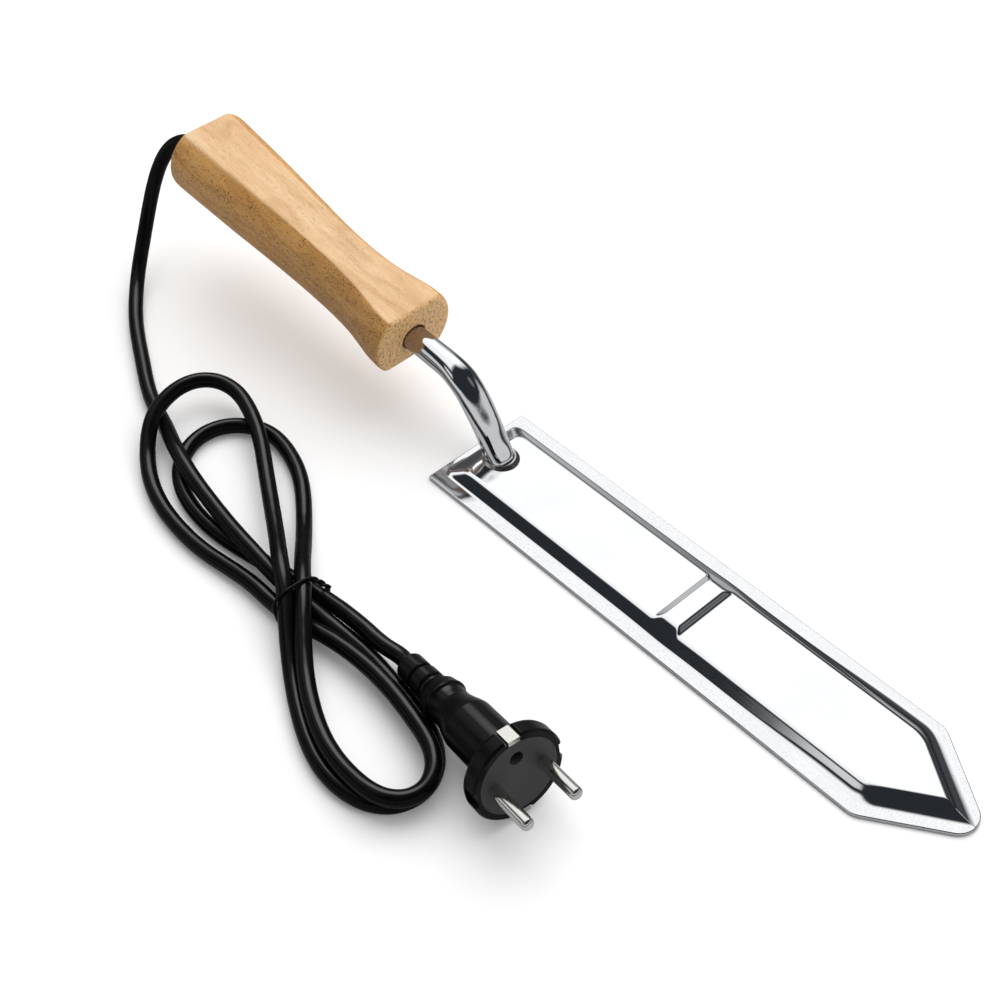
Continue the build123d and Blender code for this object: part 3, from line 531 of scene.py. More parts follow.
PIN = bright_steel("pin_nickel", tone=(0.78, 0.765, 0.72), rough=(0.10, 0.22), wave=0.06,
                   axis=(300, 300, 300), speck=0.7)
CLIP = bright_steel("clip_plate", tone=(0.76, 0.745, 0.70), rough=(0.14, 0.28), wave=0.06,
                    axis=(300, 300, 300), speck=0.8)
SCREW = bright_steel("screw_zinc", tone=(0.62, 0.62, 0.60), rough=(0.18, 0.34), wave=0.1,
                     axis=(500, 500, 500), speck=1.0)
materials.update({
    "blade_plate": STEEL_EDGE, "blade_cover": STEEL, "stem_tube": STEM, "stem_braze": BRAZE,
    "wooden_handle": WOOD, "handle_screw": SCREW, "cord_hank": CORD, "cord_end_handle": CORD,
    "cord_end_plug": CORD, "twist_tie": TIE, "plug_body": PLUG, "plug_pins": PIN,
    "plug_earth_clips": CLIP})
for name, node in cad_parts.items():
    if node.material_slots:
        for slot in node.material_slots:
            slot.material = materials[name]
    else:
        node.data.materials.append(materials[name])


# ------------------------------------------------------------------ stamped blade shell
HALF_WIDTH = 25.0
HEEL_X = -16.0
APEX_X = 232.0                    # where the straight sides of the point would meet
POINT_ANGLE = math.radians(34.05)
TIP_RADIUS = 8.2
SHOULDER_RADIUS = 9.0
HEEL_RADIUS = 0.9
SIN, COS, TAN = math.sin(POINT_ANGLE), math.cos(POINT_ANGLE), math.tan(POINT_ANGLE)
TIP_CENTRE_X = APEX_X - TIP_RADIUS / SIN
SHOULDER_X = APEX_X - HALF_WIDTH / TAN - SHOULDER_RADIUS * math.tan(POINT_ANGLE / 2)
SHOULDER_Y = HALF_WIDTH - SHOULDER_RADIUS
HEEL_CENTRE_X = HEEL_X + HEEL_RADIUS

FLANGE_Z = 1.5
FLAT_Z = 5.0                      # raised flat
FLAT_HALF_WIDTH = 14.5
FLAT_APEX_X = 213.6
FLAT_HEEL_X = -6.0
WALL_RISE = FLAT_Z - FLANGE_Z
WALL_RUN = 4.7
HEEL_WALL_RUN = 7.0
RIB_START, RIB_END, RIB_RISE = 95.2, 107.2, 1.6
LIP_RADIUS = 0.5                  # rounding of the outer edge
SIDE_CLEARANCE = 0.04
SKIRT_Z = 0.22


def half_width(x):
    def arc(centre_x, radius):
        return np.sqrt(np.maximum(radius**2 - (x - centre_x)**2, 0))

    y = np.minimum(HALF_WIDTH, (APEX_X - x) * TAN)
    shoulder = (x > SHOULDER_X) & (x < SHOULDER_X + SHOULDER_RADIUS * SIN)
    y = np.where(shoulder, SHOULDER_Y + arc(SHOULDER_X, SHOULDER_RADIUS), y)
    y = np.where(x > TIP_CENTRE_X + TIP_RADIUS * SIN, arc(TIP_CENTRE_X, TIP_RADIUS), y)
    corner = HALF_WIDTH - HEEL_RADIUS + arc(HEEL_CENTRE_X, HEEL_RADIUS)
    return np.where(x < HEEL_CENTRE_X, corner, y)


def smooth_step(f):
    f = np.clip(f, 0, 1)
    return f * f * (3 - 2 * f)


def smooth_max(a, b, blend):
    near = np.maximum(blend - np.abs(a - b), 0) / blend
    return np.maximum(a, b) + near * near * blend / 4


def smooth_min(a, b, blend):
    return -smooth_max(-a, -b, blend)


def edge_distance(x, y):
    """Distance inward from the outline."""
    side = np.abs(y)
    dist = np.minimum(HALF_WIDTH - side, (APEX_X - x) * SIN - side * COS)
    reach = np.hypot(x - SHOULDER_X, side - SHOULDER_Y)
    angle = np.arctan2(side - SHOULDER_Y, x - SHOULDER_X)
    on_arc = (x > SHOULDER_X) & (angle > math.pi / 2 - POINT_ANGLE) & (angle < math.pi / 2)
    dist = np.where(on_arc, SHOULDER_RADIUS - reach, dist)
    reach = np.hypot(x - TIP_CENTRE_X, y)
    angle = np.arctan2(side, x - TIP_CENTRE_X)
    on_arc = (x > TIP_CENTRE_X) & (angle < math.pi / 2 - POINT_ANGLE)
    dist = np.where(on_arc, TIP_RADIUS - reach, dist)
    return np.minimum(dist, x - HEEL_X)


def shell_height(x, y):
    side = np.abs(y)
    # progress down the side, point and heel walls: 0 at the flat, 1 at the flange
    widening = 0.45 * np.exp(-((x - 103) / 10.0)**2)
    down_side = (side - FLAT_HALF_WIDTH) / (WALL_RUN + widening)
    down_point = ((x - FLAT_APEX_X) * SIN + side * COS) / WALL_RUN
    down_heel = (FLAT_HEEL_X - x) / HEEL_WALL_RUN
    down = smooth_max(smooth_max(down_side, down_point, 0.55), down_heel, 0.7)
    wall = FLANGE_Z + WALL_RISE * (1 - down)
    # rib across the flat, with a steeper slope on the tip side
    rib = smooth_min((x - RIB_START) / 2.4, (RIB_END - x) / 2.0, 0.5)
    rib = smooth_max(smooth_min(rib, 1.0, 0.55), 0.0, 0.55)
    z = smooth_min(wall, FLAT_Z + RIB_RISE * rib, 0.85)
    # the wall foot softens towards the tip, more so on the +Y side
    z = smooth_max(z, FLANGE_Z, 0.5 + np.where(y < 0, 1.15, 2.3) * smooth_step((x - 135) / 45.0))
    # faint unevenness of thin sheet
    z = z + 0.014 * np.sin(x / 17.0 + 0.8) * np.sin(y / 9.0 + 0.3)
    z = z + 0.009 * np.sin(x / 7.3) * np.cos(y / 5.1)
    inset = np.clip(1 - edge_distance(x, y) / LIP_RADIUS, 0, 0.985)
    return z - LIP_RADIUS * (1 - np.sqrt(1 - inset * inset))


def graded(ranges):
    """Joins (start, end, step) ranges."""
    out = []
    for start, end, step in ranges:
        count = max(1, int(round((end - start) / step)))
        out += list(np.linspace(start, end, count, endpoint=False))
    return np.array(out + [ranges[-1][1]])


def build_shell():
    stations = graded([
        (-15.97, -15.1, 0.09), (-15.1, -4, 0.35), (-4, 93, 0.8), (93, 110, 0.22),
        (110, 188, 0.7), (188, 217, 0.4), (217, 224, 0.22), (224, 225.2, 0.1),
        (225.2, 225.5, 0.03)])
    half = graded([(0.0, 12.0, 0.6), (12.0, 16.2, 0.2), (16.2, 17.8, 0.4), (17.8, 21.0, 0.2),
                   (21.0, 24.2, 0.5), (24.2, HALF_WIDTH, 0.07)]) / HALF_WIDTH
    across = np.concatenate([-half[::-1][:-1], half])
    rows, cols = len(stations), len(across)
    # grid lines keep their place across the width and close up over the point
    x = np.repeat(stations[:, None], cols, 1)
    y = across[None, :] * (half_width(stations)[:, None] - SIDE_CLEARANCE)
    h = 0.02
    slope_x = (shell_height(x + h, y) - shell_height(x - h, y)) / (2 * h)
    slope_y = (shell_height(x, y + h) - shell_height(x, y - h)) / (2 * h)
    normals = np.stack([-slope_x, -slope_y, np.ones_like(slope_x)], -1)
    normals /= np.linalg.norm(normals, axis=-1)[..., None]
    verts = np.stack([x, y, shell_height(x, y)], -1).reshape(-1, 3)
    faces = [((i + 1) * cols + j, (i + 1) * cols + j + 1, i * cols + j + 1, i * cols + j)
             for i in range(rows - 1) for j in range(cols - 1)]

    # skirt round the outline, on its own vertices so the lip stays crisp
    loop = (list(range(cols)) + [i * cols + cols - 1 for i in range(1, rows)]
            + [(rows - 1) * cols + j for j in range(cols - 2, -1, -1)]
            + [i * cols for i in range(rows - 2, 0, -1)])
    top = verts[loop]
    run = np.roll(top, -1, 0) - np.roll(top, 1, 0)
    outward = np.stack([run[:, 1], -run[:, 0], np.zeros(len(run))], 1)
    outward /= np.maximum(np.linalg.norm(outward, axis=1)[:, None], 1e-9)
    outward *= np.sign(np.sum(outward * (top - vec(100, 0, 0)), axis=1))[:, None]
    low = top.copy()
    low[:, 2] = SKIRT_Z
    base, n = len(verts), len(loop)
    for k in range(n):
        k2 = (k + 1) % n
        faces.append((base + k, base + k2, base + n + k2, base + n + k))
    verts = np.concatenate([verts, top, low])
    normals = np.concatenate([normals.reshape(-1, 3), outward, outward])

    mesh = bpy.data.meshes.new("blade_shell")
    mesh.from_pydata([tuple(p) for p in verts * MM], [], faces)
    for face in mesh.polygons:
        face.use_smooth = True
    mesh.materials.append(STEEL)
    mesh.update()
    mesh.normals_split_custom_set_from_vertices([tuple(v) for v in normals])
    return add_object("blade_shell", mesh)


shell = build_shell()
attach(shell, "knife")
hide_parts("blade_cover")

# ------------------------------------------------------------------ wooden handle
# along | top: height, half width | side: half width, height | bottom: height, half width
HANDLE_SECTIONS = [
    (0.0, 14.5, 11.3, 17.4, 2.4, -10.6, 12.8),
    (0.5, 15.0, 12.0, 18.2, 2.4, -11.1, 13.5),
    (1.3, 15.3, 12.5, 18.7, 2.4, -11.4, 13.9),
    (3.2, 15.4, 12.6, 18.9, 2.5, -11.5, 14.0),
    (9.0, 15.2, 12.2, 18.5, 2.5, -11.3, 13.6),
    (16.0, 14.9, 10.9, 17.1, 2.5, -11.0, 12.6),
    (25.0, 14.6, 9.5, 15.5, 2.5, -10.9, 11.5),
    (38.0, 14.5, 8.5, 14.6, 2.6, -10.9, 10.9),
    (55.0, 14.8, 8.3, 14.9, 2.8, -11.0, 10.9),
    (75.0, 15.3, 8.9, 16.3, 3.1, -11.1, 11.4),
    (95.0, 15.8, 9.8, 17.8, 3.4, -11.3, 12.3),
    (115.0, 16.2, 10.6, 18.9, 3.7, -11.5, 13.0),
    (128.0, 16.4, 11.1, 19.5, 3.9, -11.7, 13.4),
    (132.9, 16.4, 11.2, 19.6, 3.9, -11.7, 13.5),
    (134.4, 16.1, 10.9, 19.2, 3.9, -11.4, 13.2),
    (HANDLE_LENGTH, 15.5, 10.4, 18.6, 3.8, -10.9, 12.7),
]
TOP_STEPS, SIDE_STEPS, BOTTOM_STEPS = 22, 66, 44    # top is counted per half
FRONT_BORE = {"radius": 5.7, "depth": 34.0}         # end of the handle nearer the blade
BACK_BORE = {"radius": 3.45, "depth": 22.0}
SCREW_ALONG = 18
# radius and depth below the handle axis, from the rim of the screw seat to its bore
SCREW_SEAT = [(4.4, 10.97), (3.5, 10.97), (3.2, 10.85), (3.1, 10.5), (3.1, 8.25),
              (1.7, 8.2), (1.6, 7.9), (1.6, 4.5)]


def handle_section(along):
    """Section sizes by cubic interpolation between the table rows."""
    keys = np.array(HANDLE_SECTIONS)
    last = len(keys) - 1
    i = max(j for j in range(last) if keys[j, 0] <= along + 1e-9)
    a, b = keys[i], keys[i + 1]
    before, after = keys[max(i - 1, 0)], keys[min(i + 2, last)]
    span = b[0] - a[0]
    f = (along - a[0]) / span
    slope_a = (b - before) / (b[0] - before[0])
    slope_b = (after - a) / (after[0] - a[0])
    sizes = ((2 * f**3 - 3 * f**2 + 1) * a + (f**3 - 2 * f**2 + f) * span * slope_a
             + (3 * f**2 - 2 * f**3) * b + (f**3 - f**2) * span * slope_b)
    return sizes[1:]


def arc_through(start, middle, end, count):
    """`count` points on the circle through three points, without the last one."""
    (ax, ay), (bx, by), (cx, cy) = start, middle, end
    a2, b2, c2 = ax * ax + ay * ay, bx * bx + by * by, cx * cx + cy * cy
    d = 2 * (ax * (by - cy) + bx * (cy - ay) + cx * (ay - by))
    x = (a2 * (by - cy) + b2 * (cy - ay) + c2 * (ay - by)) / d
    y = (a2 * (cx - bx) + b2 * (ax - cx) + c2 * (bx - ax)) / d
    radius = math.hypot(ax - x, ay - y)
    first, mid, last = (math.atan2(q - y, p - x) for p, q in (start, middle, end))

    def wrap(angle):
        return (angle + math.pi) % (2 * math.pi) - math.pi

    sweep = wrap(mid - first) + wrap(last - mid)
    angles = [first + sweep * k / count for k in range(count)]
    return [(x + radius * math.cos(t), y + radius * math.sin(t)) for t in angles]


def handle_outline(along):
    """Closed (y, up) outline, from the middle of the top round by +Y."""
    top, top_half, side_half, side, bottom, bottom_half = handle_section(along)
    pts = [(top_half * k / TOP_STEPS, top) for k in range(TOP_STEPS)]
    pts += arc_through((top_half, top), (side_half, side), (bottom_half, bottom), SIDE_STEPS)
    pts += [(bottom_half - 2 * bottom_half * k / BOTTOM_STEPS, bottom)
            for k in range(BOTTOM_STEPS)]
    pts += arc_through((-bottom_half, bottom), (-side_half, side), (-top_half, top), SIDE_STEPS)
    pts += [(-top_half + top_half * k / TOP_STEPS, top) for k in range(TOP_STEPS)]
    outline = np.array(pts)
    for _ in range(2):                       # eases the four long edges
        neighbours = np.roll(outline, 1, 0) + np.roll(outline, -1, 0)
        outline = outline * 0.5 + 0.25 * neighbours
    return outline


def end_rings(face, inward, radius, depth):
    """Rings from the outline of an end face to its round hole and down the bore."""
    outline = handle_outline(face)
    angles = np.arctan2(outline[:, 1], outline[:, 0])
    circle = np.stack([np.cos(angles), np.sin(angles)], 1)
    chamfer = 0.35
    out = []
    for f in (0.12, 0.35, 0.6, 0.85, 0.97):
        ring = outline * (1 - f) + circle * (radius + chamfer) * f
        out.append([on_handle(face, y, up) for y, up in ring])
    for extra, sunk in ((chamfer, 0.0), (0.12, 0.10), (0.0, 0.4), (0.0, 1.5), (0.0, depth)):
        ring = circle * (radius + extra)
        out.append([on_handle(face + inward * sunk, y, up) for y, up in ring])
    return out


def open_screw_hole(obj):
    """Removes the underside faces over the screw, where the seat goes in."""
    centre = Vector(tuple(on_handle(SCREW_ALONG, 0, -10.95) * MM))
    up = Vector(tuple(HANDLE_UP))
    bm = bmesh.new()
    bm.from_mesh(obj.data)
    near = [face for face in bm.faces
            if (face.calc_center_median() - centre).length < 0.0036
            and face.normal.dot(up) < -0.5]
    bmesh.ops.delete(bm, geom=near, context="FACES")
    bm.to_mesh(obj.data)
    bm.free()


def build_handle():
    stations = np.concatenate([
        np.linspace(0, 1, 7), np.linspace(1.25, 4, 10), np.linspace(5, 130.5, 116),
        np.linspace(131, 134.4, 14), [134.6, 134.8, 134.92, HANDLE_LENGTH]])
    rings = [[on_handle(s, y, up) for y, up in handle_outline(s)] for s in stations]
    front = end_rings(0.0, inward=1, **FRONT_BORE)[::-1]
    back = end_rings(HANDLE_LENGTH, inward=-1, **BACK_BORE)
    obj = mesh_object("handle_turned", *skin(front + rings + back), WOOD, crisp=50)
    open_screw_hole(obj)
    return obj


def build_screw_seat():
    rings = [[on_handle(SCREW_ALONG + radius * math.cos(a), radius * math.sin(a), -depth)
              for a in full_turn(48)] for radius, depth in SCREW_SEAT]
    return mesh_object("handle_screw_seat", *skin(rings), WOOD, crisp=40)


handle = build_handle()
seat = build_screw_seat()
for piece in (seat, handle):
    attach(piece, "knife")
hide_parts("wooden_handle")

# ------------------------------------------------------------------ cord
CORD_RADIUS = 3.15
CORD_STEP = 1.25
# centre line (x, y, z) from the back of the handle, round the hank, to the plug
CORD_POINTS = [
    (-187.18, -0.08, 56.04), (-195.43, -1.97, 56.54), (-202.15, -5.75, 53.17),
    (-205.52, -10.22, 46.80), (-206.49, -14.51, 39.50), (-205.92, -18.84, 32.18),
    (-204.22, -23.39, 25.16), (-201.64, -28.30, 18.68), (-198.29, -33.55, 12.85),
    (-193.91, -39.03, 8.04), (-188.09, -44.53, 5.14), (-181.49, -49.74, 3.72),
    (-174.47, -54.58, 3.23), (-167.17, -59.00, 3.18), (-159.67, -63.08, 3.18),
    (-152.07, -66.97, 3.18), (-144.47, -70.84, 3.19), (-136.84, -74.68, 3.18),
    (-129.06, -78.19, 3.18), (-121.03, -81.07, 3.38), (-112.89, -83.51, 4.16),
    (-104.90, -86.09, 5.65), (-97.14, -89.00, 7.74), (-89.24, -91.73, 9.42),
    (-81.03, -94.00, 9.95), (-72.70, -95.85, 9.86), (-64.29, -97.31, 9.60),
    (-55.85, -98.55, 9.47), (-47.39, -99.72, 9.49), (-38.92, -100.74, 9.66),
    (-30.42, -101.49, 9.71), (-21.91, -102.00, 9.26), (-13.42, -102.25, 8.39),
    (-4.94, -102.18, 7.42), (3.52, -101.70, 6.39), (11.92, -100.86, 5.13),
    (20.29, -99.80, 3.87), (28.76, -98.99, 3.24), (37.30, -98.82, 3.18), (45.81, -99.42, 3.18),
    (54.29, -100.38, 3.18), (62.77, -101.34, 3.21), (71.17, -102.85, 3.29),
    (79.28, -105.51, 3.35), (86.56, -109.91, 3.30), (91.75, -116.61, 3.19),
    (93.10, -124.95, 3.18), (89.94, -132.77, 3.17), (83.24, -137.94, 3.22),
    (75.06, -140.29, 3.26), (66.54, -140.52, 3.22), (58.14, -139.07, 3.18),
    (50.04, -136.38, 3.18), (42.23, -132.95, 3.17), (34.63, -129.07, 3.32),
    (27.24, -124.86, 4.11), (20.16, -120.41, 5.80), (13.38, -115.80, 8.17),
    (6.82, -111.03, 10.81), (0.11, -106.30, 13.15), (-7.08, -101.85, 14.28),
    (-14.39, -97.54, 13.53), (-21.58, -93.22, 11.96), (-28.80, -88.91, 10.49),
    (-36.11, -84.64, 9.37), (-43.46, -80.36, 8.60), (-50.83, -76.08, 8.23),
    (-58.18, -71.74, 8.20), (-65.53, -67.40, 8.39), (-73.03, -63.35, 8.83),
    (-80.82, -59.93, 9.47), (-88.90, -57.23, 10.04), (-97.25, -55.90, 11.02),
    (-105.30, -57.95, 12.59), (-111.23, -63.87, 13.63), (-113.76, -71.95, 13.29),
    (-113.06, -80.33, 12.07), (-110.08, -88.07, 10.18), (-105.07, -94.37, 7.38),
    (-98.79, -99.62, 5.00), (-91.61, -104.04, 3.75), (-83.82, -107.48, 3.29),
    (-75.65, -109.96, 3.18), (-67.27, -111.57, 3.18), (-58.78, -112.40, 3.18),
    (-50.25, -112.61, 3.18), (-41.73, -112.08, 3.23), (-33.27, -110.99, 3.49),
    (-24.81, -109.89, 3.89), (-16.31, -109.31, 4.32), (-7.78, -109.35, 4.57),
    (0.75, -109.03, 4.65), (9.21, -107.95, 5.07), (17.56, -106.48, 6.01),
    (25.95, -105.15, 6.86), (34.43, -104.32, 7.41), (42.95, -104.01, 7.83),
    (51.47, -104.34, 8.24), (59.95, -105.23, 8.59), (68.36, -106.63, 8.94),
    (76.71, -108.33, 9.37), (84.87, -110.79, 9.75), (92.03, -115.35, 9.66),
    (96.01, -122.72, 9.12), (93.97, -130.82, 9.21), (87.21, -135.81, 9.74),
    (78.82, -137.12, 9.39), (70.32, -136.79, 8.70), (61.91, -135.44, 8.23),
    (53.73, -133.03, 8.04), (45.86, -129.74, 7.97), (38.25, -125.86, 7.94),
    (30.95, -121.47, 8.40), (24.01, -116.65, 9.57), (17.34, -111.53, 11.08),
    (10.79, -106.23, 12.43), (4.07, -101.00, 12.88), (-2.78, -96.01, 11.92),
    (-9.44, -91.05, 9.96), (-15.89, -86.01, 7.53), (-22.41, -80.96, 5.32),
    (-29.10, -75.88, 3.84), (-35.94, -70.80, 3.24), (-42.99, -66.00, 3.18),
    (-50.46, -61.88, 3.18), (-58.41, -58.78, 3.18), (-66.70, -56.78, 3.18),
    (-75.21, -56.33, 3.18), (-83.33, -58.76, 3.18), (-89.82, -64.23, 3.44),
    (-93.50, -71.86, 3.62), (-93.63, -80.34, 3.45), (-90.32, -88.15, 3.20),
    (-84.56, -94.41, 3.18), (-77.25, -98.78, 3.18), (-69.17, -101.51, 3.18),
    (-60.77, -102.98, 3.18), (-52.25, -103.41, 3.18), (-43.73, -102.89, 3.18),
    (-35.28, -101.67, 3.18), (-26.89, -100.09, 3.18), (-18.50, -98.56, 3.35),
    (-10.09, -97.19, 3.88), (-1.67, -95.94, 4.57), (6.76, -94.85, 5.29), (15.23, -94.11, 6.06),
    (23.73, -93.87, 6.80), (32.25, -93.93, 7.34), (40.78, -93.82, 7.54), (49.25, -92.80, 7.72),
]
PLUG_ENTRY = vec(53.61, -93.61, 8.60)
PLUG_AXIS = unit(vec(0.97902, -0.12079, 0.16410))

path = Spline([on_handle(s) for s in (112, 118, 124, 130, 134.4)] + CORD_POINTS
              + [PLUG_ENTRY + PLUG_AXIS * s for s in (-0.5, 3, 9)])
cord_line = path(np.append(np.arange(0, path.length, CORD_STEP), path.length))
cord_sides, cord_others = side_vectors(cord_line)


def nearest_sample(*point):
    return int(np.argmin(np.linalg.norm(cord_line - vec(*point), axis=1)))


def cord_piece(name, first, last):
    angles = full_turn(32)
    rings = []
    for k in range(first, last + 1):
        relief = 0.02 * math.sin(k * 0.9) * np.cos(2 * angles + k * 0.13)
        rings.append(round_ring(cord_line[k], cord_sides[k], cord_others[k],
                                CORD_RADIUS + relief, angles))
    verts, faces = skin(rings, cap_start=first == 0, cap_end=last == len(cord_line) - 1)
    obj = mesh_object(name, verts, faces, CORD)
    return obj


hank_start = nearest_sample(-108.5, -85.0, 5.0)
hank_end = nearest_sample(-18.5, -98.6, 3.4)
lead_out = cord_piece("cord_lead_out", 0, hank_start)
hank_run = cord_piece("cord_hank_run", hank_start, hank_end)
tail = cord_piece("cord_tail", hank_end, len(cord_line) - 1)
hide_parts("cord_end_handle")
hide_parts("cord_hank")
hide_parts("cord_end_plug")
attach(hank_run, "hank")

# ------------------------------------------------------------------ twist tie
TIE_ORIGIN = vec(3.76, -105.25, 0)
TIE_ACROSS = unit(vec(0.0823, 0.9966, 0))          # across the hank
TIE_NORMAL = vec(TIE_ACROSS[1], -TIE_ACROSS[0], 0)
TIE_RADIUS = 0.6
TAIL_RADIUS = 0.576
TWIST_RADIUS = 0.62
KNOT_ACROSS, KNOT_Z = 7.43, 15.96
# (across, z) of the loop round the hank
TIE_LOOP = [
    (7.68, 16.16), (5.41, 16.68), (3.26, 16.77), (1.11, 16.66), (-1.04, 16.55), (-3.18, 16.36),
    (-5.16, 15.54), (-6.95, 14.34), (-8.17, 12.58), (-8.40, 10.47), (-8.14, 8.33),
    (-7.87, 6.19), (-7.60, 4.06), (-6.70, 2.13), (-4.91, 0.98), (-2.77, 0.82), (-0.62, 0.87),
    (1.54, 0.92), (3.69, 0.96), (5.85, 1.01), (8.00, 1.06), (10.16, 1.11), (12.20, 1.75),
    (13.75, 3.20), (14.34, 5.24), (13.73, 7.28), (12.53, 9.07), (11.33, 10.86),
    (10.13, 12.65), (8.93, 14.44), (7.53, 15.86),
]


def on_tie(across, z, along):
    return TIE_ORIGIN + TIE_ACROSS * across + vec(0, 0, z) + TIE_NORMAL * along


def tie_piece(name, points, samples, radius):
    spline = Spline(points)
    centres = spline(np.linspace(0, spline.length, samples))
    angles = full_turn(16)
    rings = [round_ring(centre, side, other, radius, angles)
             for centre, side, other in zip(centres, *side_vectors(centres))]
    obj = mesh_object(name, *skin(rings, cap_start=True, cap_end=True), TIE)
    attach(obj, "hank")
    return obj


def tail_points(phase):
    """One of two tails wound round each other, leading away from the knot."""
    swing = TIE_NORMAL * 0.41 - TIE_ACROSS * 0.91
    points = []
    for i in range(13):
        s = i / 12
        angle = s * math.pi * 3.0 + phase
        middle = on_tie(KNOT_ACROSS + 0.1 + 3.4 * s,
                        KNOT_Z + 0.4 - 1.6 * s + 0.9 * math.sin(s * 3), -0.1 + 7.6 * s)
        points.append(middle + swing * (TWIST_RADIUS * math.cos(angle))
                      + vec(0, 0, TWIST_RADIUS * math.sin(angle)))
    return points


loop_points = [on_tie(across, z, -0.45 + 0.9 * i / (len(TIE_LOOP) - 1))
               for i, (across, z) in enumerate(TIE_LOOP)]
tie = tie_piece("twist_tie_loop", loop_points, samples=260, radius=TIE_RADIUS)
for tag, phase in (("a", 0), ("b", math.pi)):
    tie_piece("twist_tie_tail_" + tag, tail_points(phase), samples=90, radius=TAIL_RADIUS)
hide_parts("twist_tie")

# the loose cord bends between the bodies at its ends; their meshes are final here
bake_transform(lead_out)
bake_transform(tail)

# ------------------------------------------------------------------ floor
BACKDROP = (0.965, 0.965, 0.965)
FLOOR_REACH = 6.0
FLOOR_GAP = 0.0003


def floor_material():
    """White paper, dark in grazing reflections, fading into the backdrop far away."""
    m = Material("floor_paper")
    cloud = m.noise(scale=9, detail=3, rough=0.5)
    ray = m.node("ShaderNodeLightPath").outputs
    incoming = m.separate(m.node("ShaderNodeNewGeometry").outputs["Incoming"])
    reflected = m.mix(m.remap(incoming[2], span=(0.05, 0.26)),
                      (0.035, 0.036, 0.038), (0.46, 0.465, 0.48))
    paper = m.mix(cloud, (0.93, 0.93, 0.93), (0.90, 0.90, 0.905))
    m.set(Base_Color=m.mix(ray["Is Glossy Ray"], paper, reflected), Roughness=0.95,
          Specular_IOR_Level=0.1, Emission_Color=(1, 1, 1),
          Emission_Strength=m.mul(ray["Is Camera Ray"], 0.10),
          Normal=m.bump(m.noise(scale=900, detail=2, rough=0.5), strength=0.03,
                        distance=0.0002))
    offset = m.vmath("SUBTRACT", m.obj, (0.0, -0.03, 0.0))["Vector"]
    away = m.remap(m.vmath("LENGTH", offset)["Value"], span=(0.75, 2.3))
    glow = m.node("ShaderNodeEmission", {0: BACKDROP}).outputs[0]
    faded = m.mix_shader(m.mul(away, ray["Is Camera Ray"]), m.shader.outputs[0], glow)
    m.feed(m.output.inputs[0], faded)
    return m.material


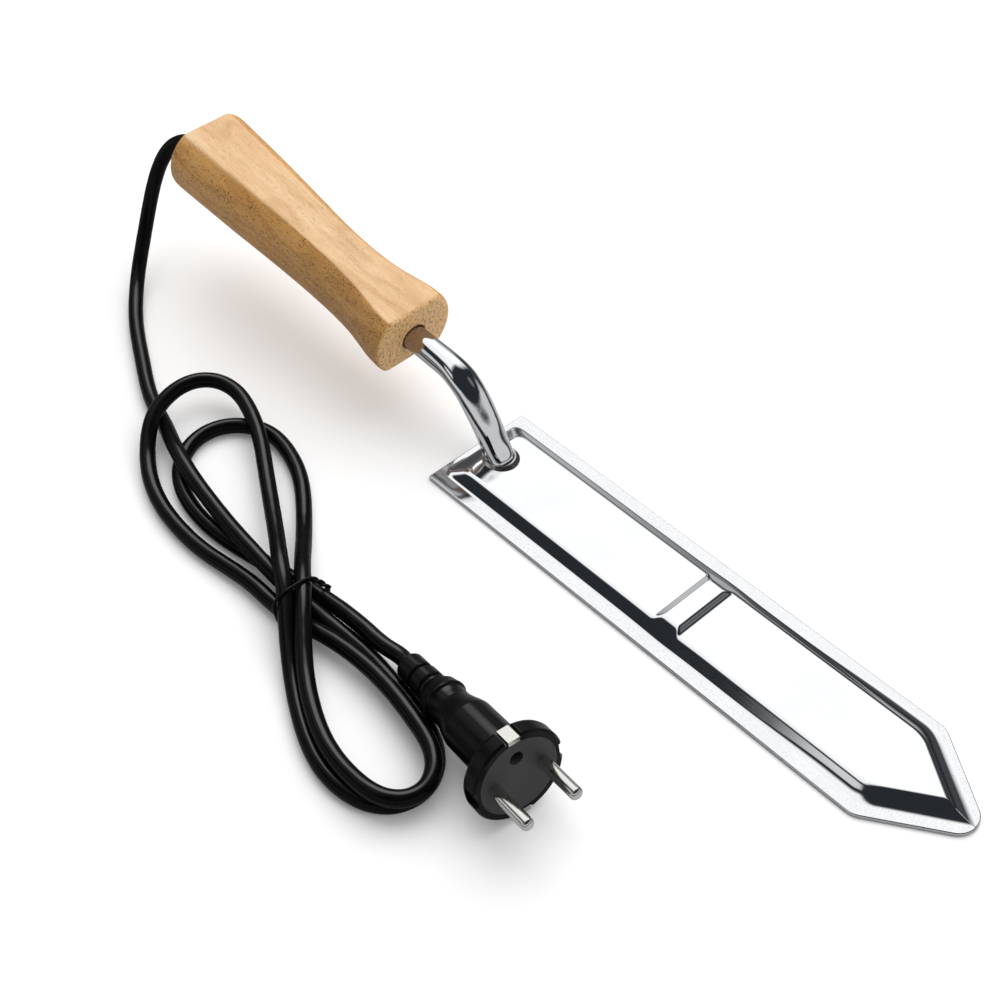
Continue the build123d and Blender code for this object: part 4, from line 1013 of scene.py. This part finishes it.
lowest = min((o.matrix_world @ Vector(c)).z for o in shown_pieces() for c in o.bound_box)
paper_material = floor_material()
floor_mesh = bpy.data.meshes.new("floor")
corners = [(x * FLOOR_REACH, y * FLOOR_REACH, lowest - FLOOR_GAP)
           for x, y in ((-1, -1), (1, -1), (1, 1), (-1, 1))]
floor_mesh.from_pydata(corners, [], [(0, 1, 2, 3)])
floor_mesh.materials.append(paper_material)
add_object("floor", floor_mesh)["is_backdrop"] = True


# ------------------------------------------------------------------ studio surroundings
def build_world():
    """Soft light on surfaces, painted cards in reflections, plain backdrop to the camera."""
    world = bpy.data.worlds.new("studio")
    bpy.context.scene.world = world
    world.use_nodes = True
    g = Graph(world.node_tree)
    direction = g.node("ShaderNodeTexCoord").outputs["Generated"]
    dx, dy, dz = g.separate(direction)

    def fade(value, span, to=(0, 1)):
        return g.remap(value, span, to, ease="SMOOTHSTEP")

    def lobe(centre, cosines, level):
        """Patch of light, from nothing at the first cosine to full at the second."""
        return g.mul(fade(g.dot(direction, centre), cosines), level)

    def background(level, tint=(0.0, 0.0, 0.0)):
        node = g.node("ShaderNodeBackground")
        colour = g.node("ShaderNodeCombineColor", {i: g.add(level, tint[i]) for i in range(3)})
        g.feed(node.inputs[0], colour.outputs[0])
        return node.outputs[0]

    # main softbox and its lower edge
    light = lobe(SOFTBOX, cosines=(0.80, 0.93), level=1.12)
    light = g.mul(light, fade(dz, span=(0.36, 0.52), to=(0.22, 1)))
    # overhead sheet
    ratio = g.math("DIVIDE", dy, g.max(dz, 0.05))
    over = g.mul(fade(ratio, span=(-0.60, -0.30)), fade(dx, span=(0.06, -0.10)))
    over = g.mul(over, fade(dz, span=(0.40, 0.52)))
    light = g.max(light, g.mul(over, 1.0))
    # dim strip on the -Y side of the sheet
    strip = g.mul(fade(ratio, span=(-0.74, -0.83)), fade(dx, span=(-0.345, -0.285)))
    strip = g.mul(g.mul(strip, fade(dx, span=(0.06, -0.06))), fade(dz, span=(0.55, 0.65)))
    light = g.max(light, g.mul(strip, 0.66))
    # low band round the -Y and +X sides
    side = g.max(fade(g.mul(dy, -1.0), span=(0.15, 0.5)), fade(dx, span=(0.15, 0.5)))
    band = g.mul(fade(dz, span=(0.50, 0.36)), fade(dz, span=(0.02, 0.12)))
    light = g.max(light, g.mul(g.mul(side, band), 0.60))
    # card behind the handle
    card = g.mul(fade(dx, span=(-0.66, -0.88)), fade(dy, span=(0.452, 0.500), to=(0.06, 0.62)))
    light = g.max(light, card)
    # grey card low on the +Y side, brightest towards the handle
    far = g.mul(fade(dy, span=(0.66, 0.80)),
                g.mul(fade(dz, span=(0.10, 0.17)), fade(dz, span=(0.46, 0.36))))
    light = g.max(light, g.mul(far, fade(dx, span=(-0.33, -0.52), to=(0.035, 0.52))))
    # small faint patch towards +X +Y
    patch = lobe(unit(vec(0.505, 0.50, 0.704)), cosines=(0.986, 0.997), level=0.13)
    light = g.max(light, patch)

    ray = g.node("ShaderNodeLightPath").outputs
    lean = fade(g.add(g.mul(dy, 0.8), g.mul(dz, 0.6)), span=(-0.35, 0.85))
    soft = background(g.add(g.mul(lean, 0.62), 0.16))
    shown = g.node("ShaderNodeBackground", {0: BACKDROP}).outputs[0]
    cards = background(light, tint=(0.0205, 0.0245, 0.0285))
    surface = g.mix_shader(ray["Is Glossy Ray"], soft, cards)
    surface = g.mix_shader(ray["Is Camera Ray"], surface, shown)
    g.node("ShaderNodeOutputWorld", {0: surface})


build_world()


# ------------------------------------------------------------------ lights and camera
def disk_light(name, location, size, power):
    """Disk aimed at the middle of the product, left out of reflections."""
    data = bpy.data.lights.new(name, "AREA")
    data.shape = "DISK"
    data.size = size
    data.energy = power
    obj = bpy.data.objects.new(name, data)
    obj.location = location
    aim = Vector((0, -0.02, 0)) - Vector(location)
    obj.rotation_euler = aim.to_track_quat("-Z", "Y").to_euler()
    obj.visible_glossy = False
    bpy.context.scene.collection.objects.link(obj)


disk_light("key", location=(-0.45, 0.70, 1.5), size=2.4, power=24.0)
disk_light("fill", location=(0.9, 0.3, 1.2), size=1.4, power=4.0)

CAMERA_RIGHT = (0.675691624480525, 0.736902636980285, -0.020379701135486233)
CAMERA_UP = (-0.5293240787965751, 0.5042260375438784, 0.6823284565874097)
CAMERA_BACK = (0.5130856148958248, -0.4502561567311454, 0.7307616198957575)
camera_data = bpy.data.cameras.new("camera")
camera_data.sensor_fit = "HORIZONTAL"
camera_data.sensor_width = 36.0
camera_data.lens = 59.6003036928
camera_data.clip_start = 0.02
camera = bpy.data.objects.new("camera", camera_data)
pose = Matrix((CAMERA_RIGHT, CAMERA_UP, CAMERA_BACK)).transposed().to_4x4()
pose.translation = Vector((0.34017579493, -0.30046907552, 0.46743435893))
camera.matrix_world = pose
scene = bpy.context.scene
scene.collection.objects.link(camera)
scene.camera = camera
scene.view_settings.view_transform = "Standard"
scene.view_settings.look = "None"
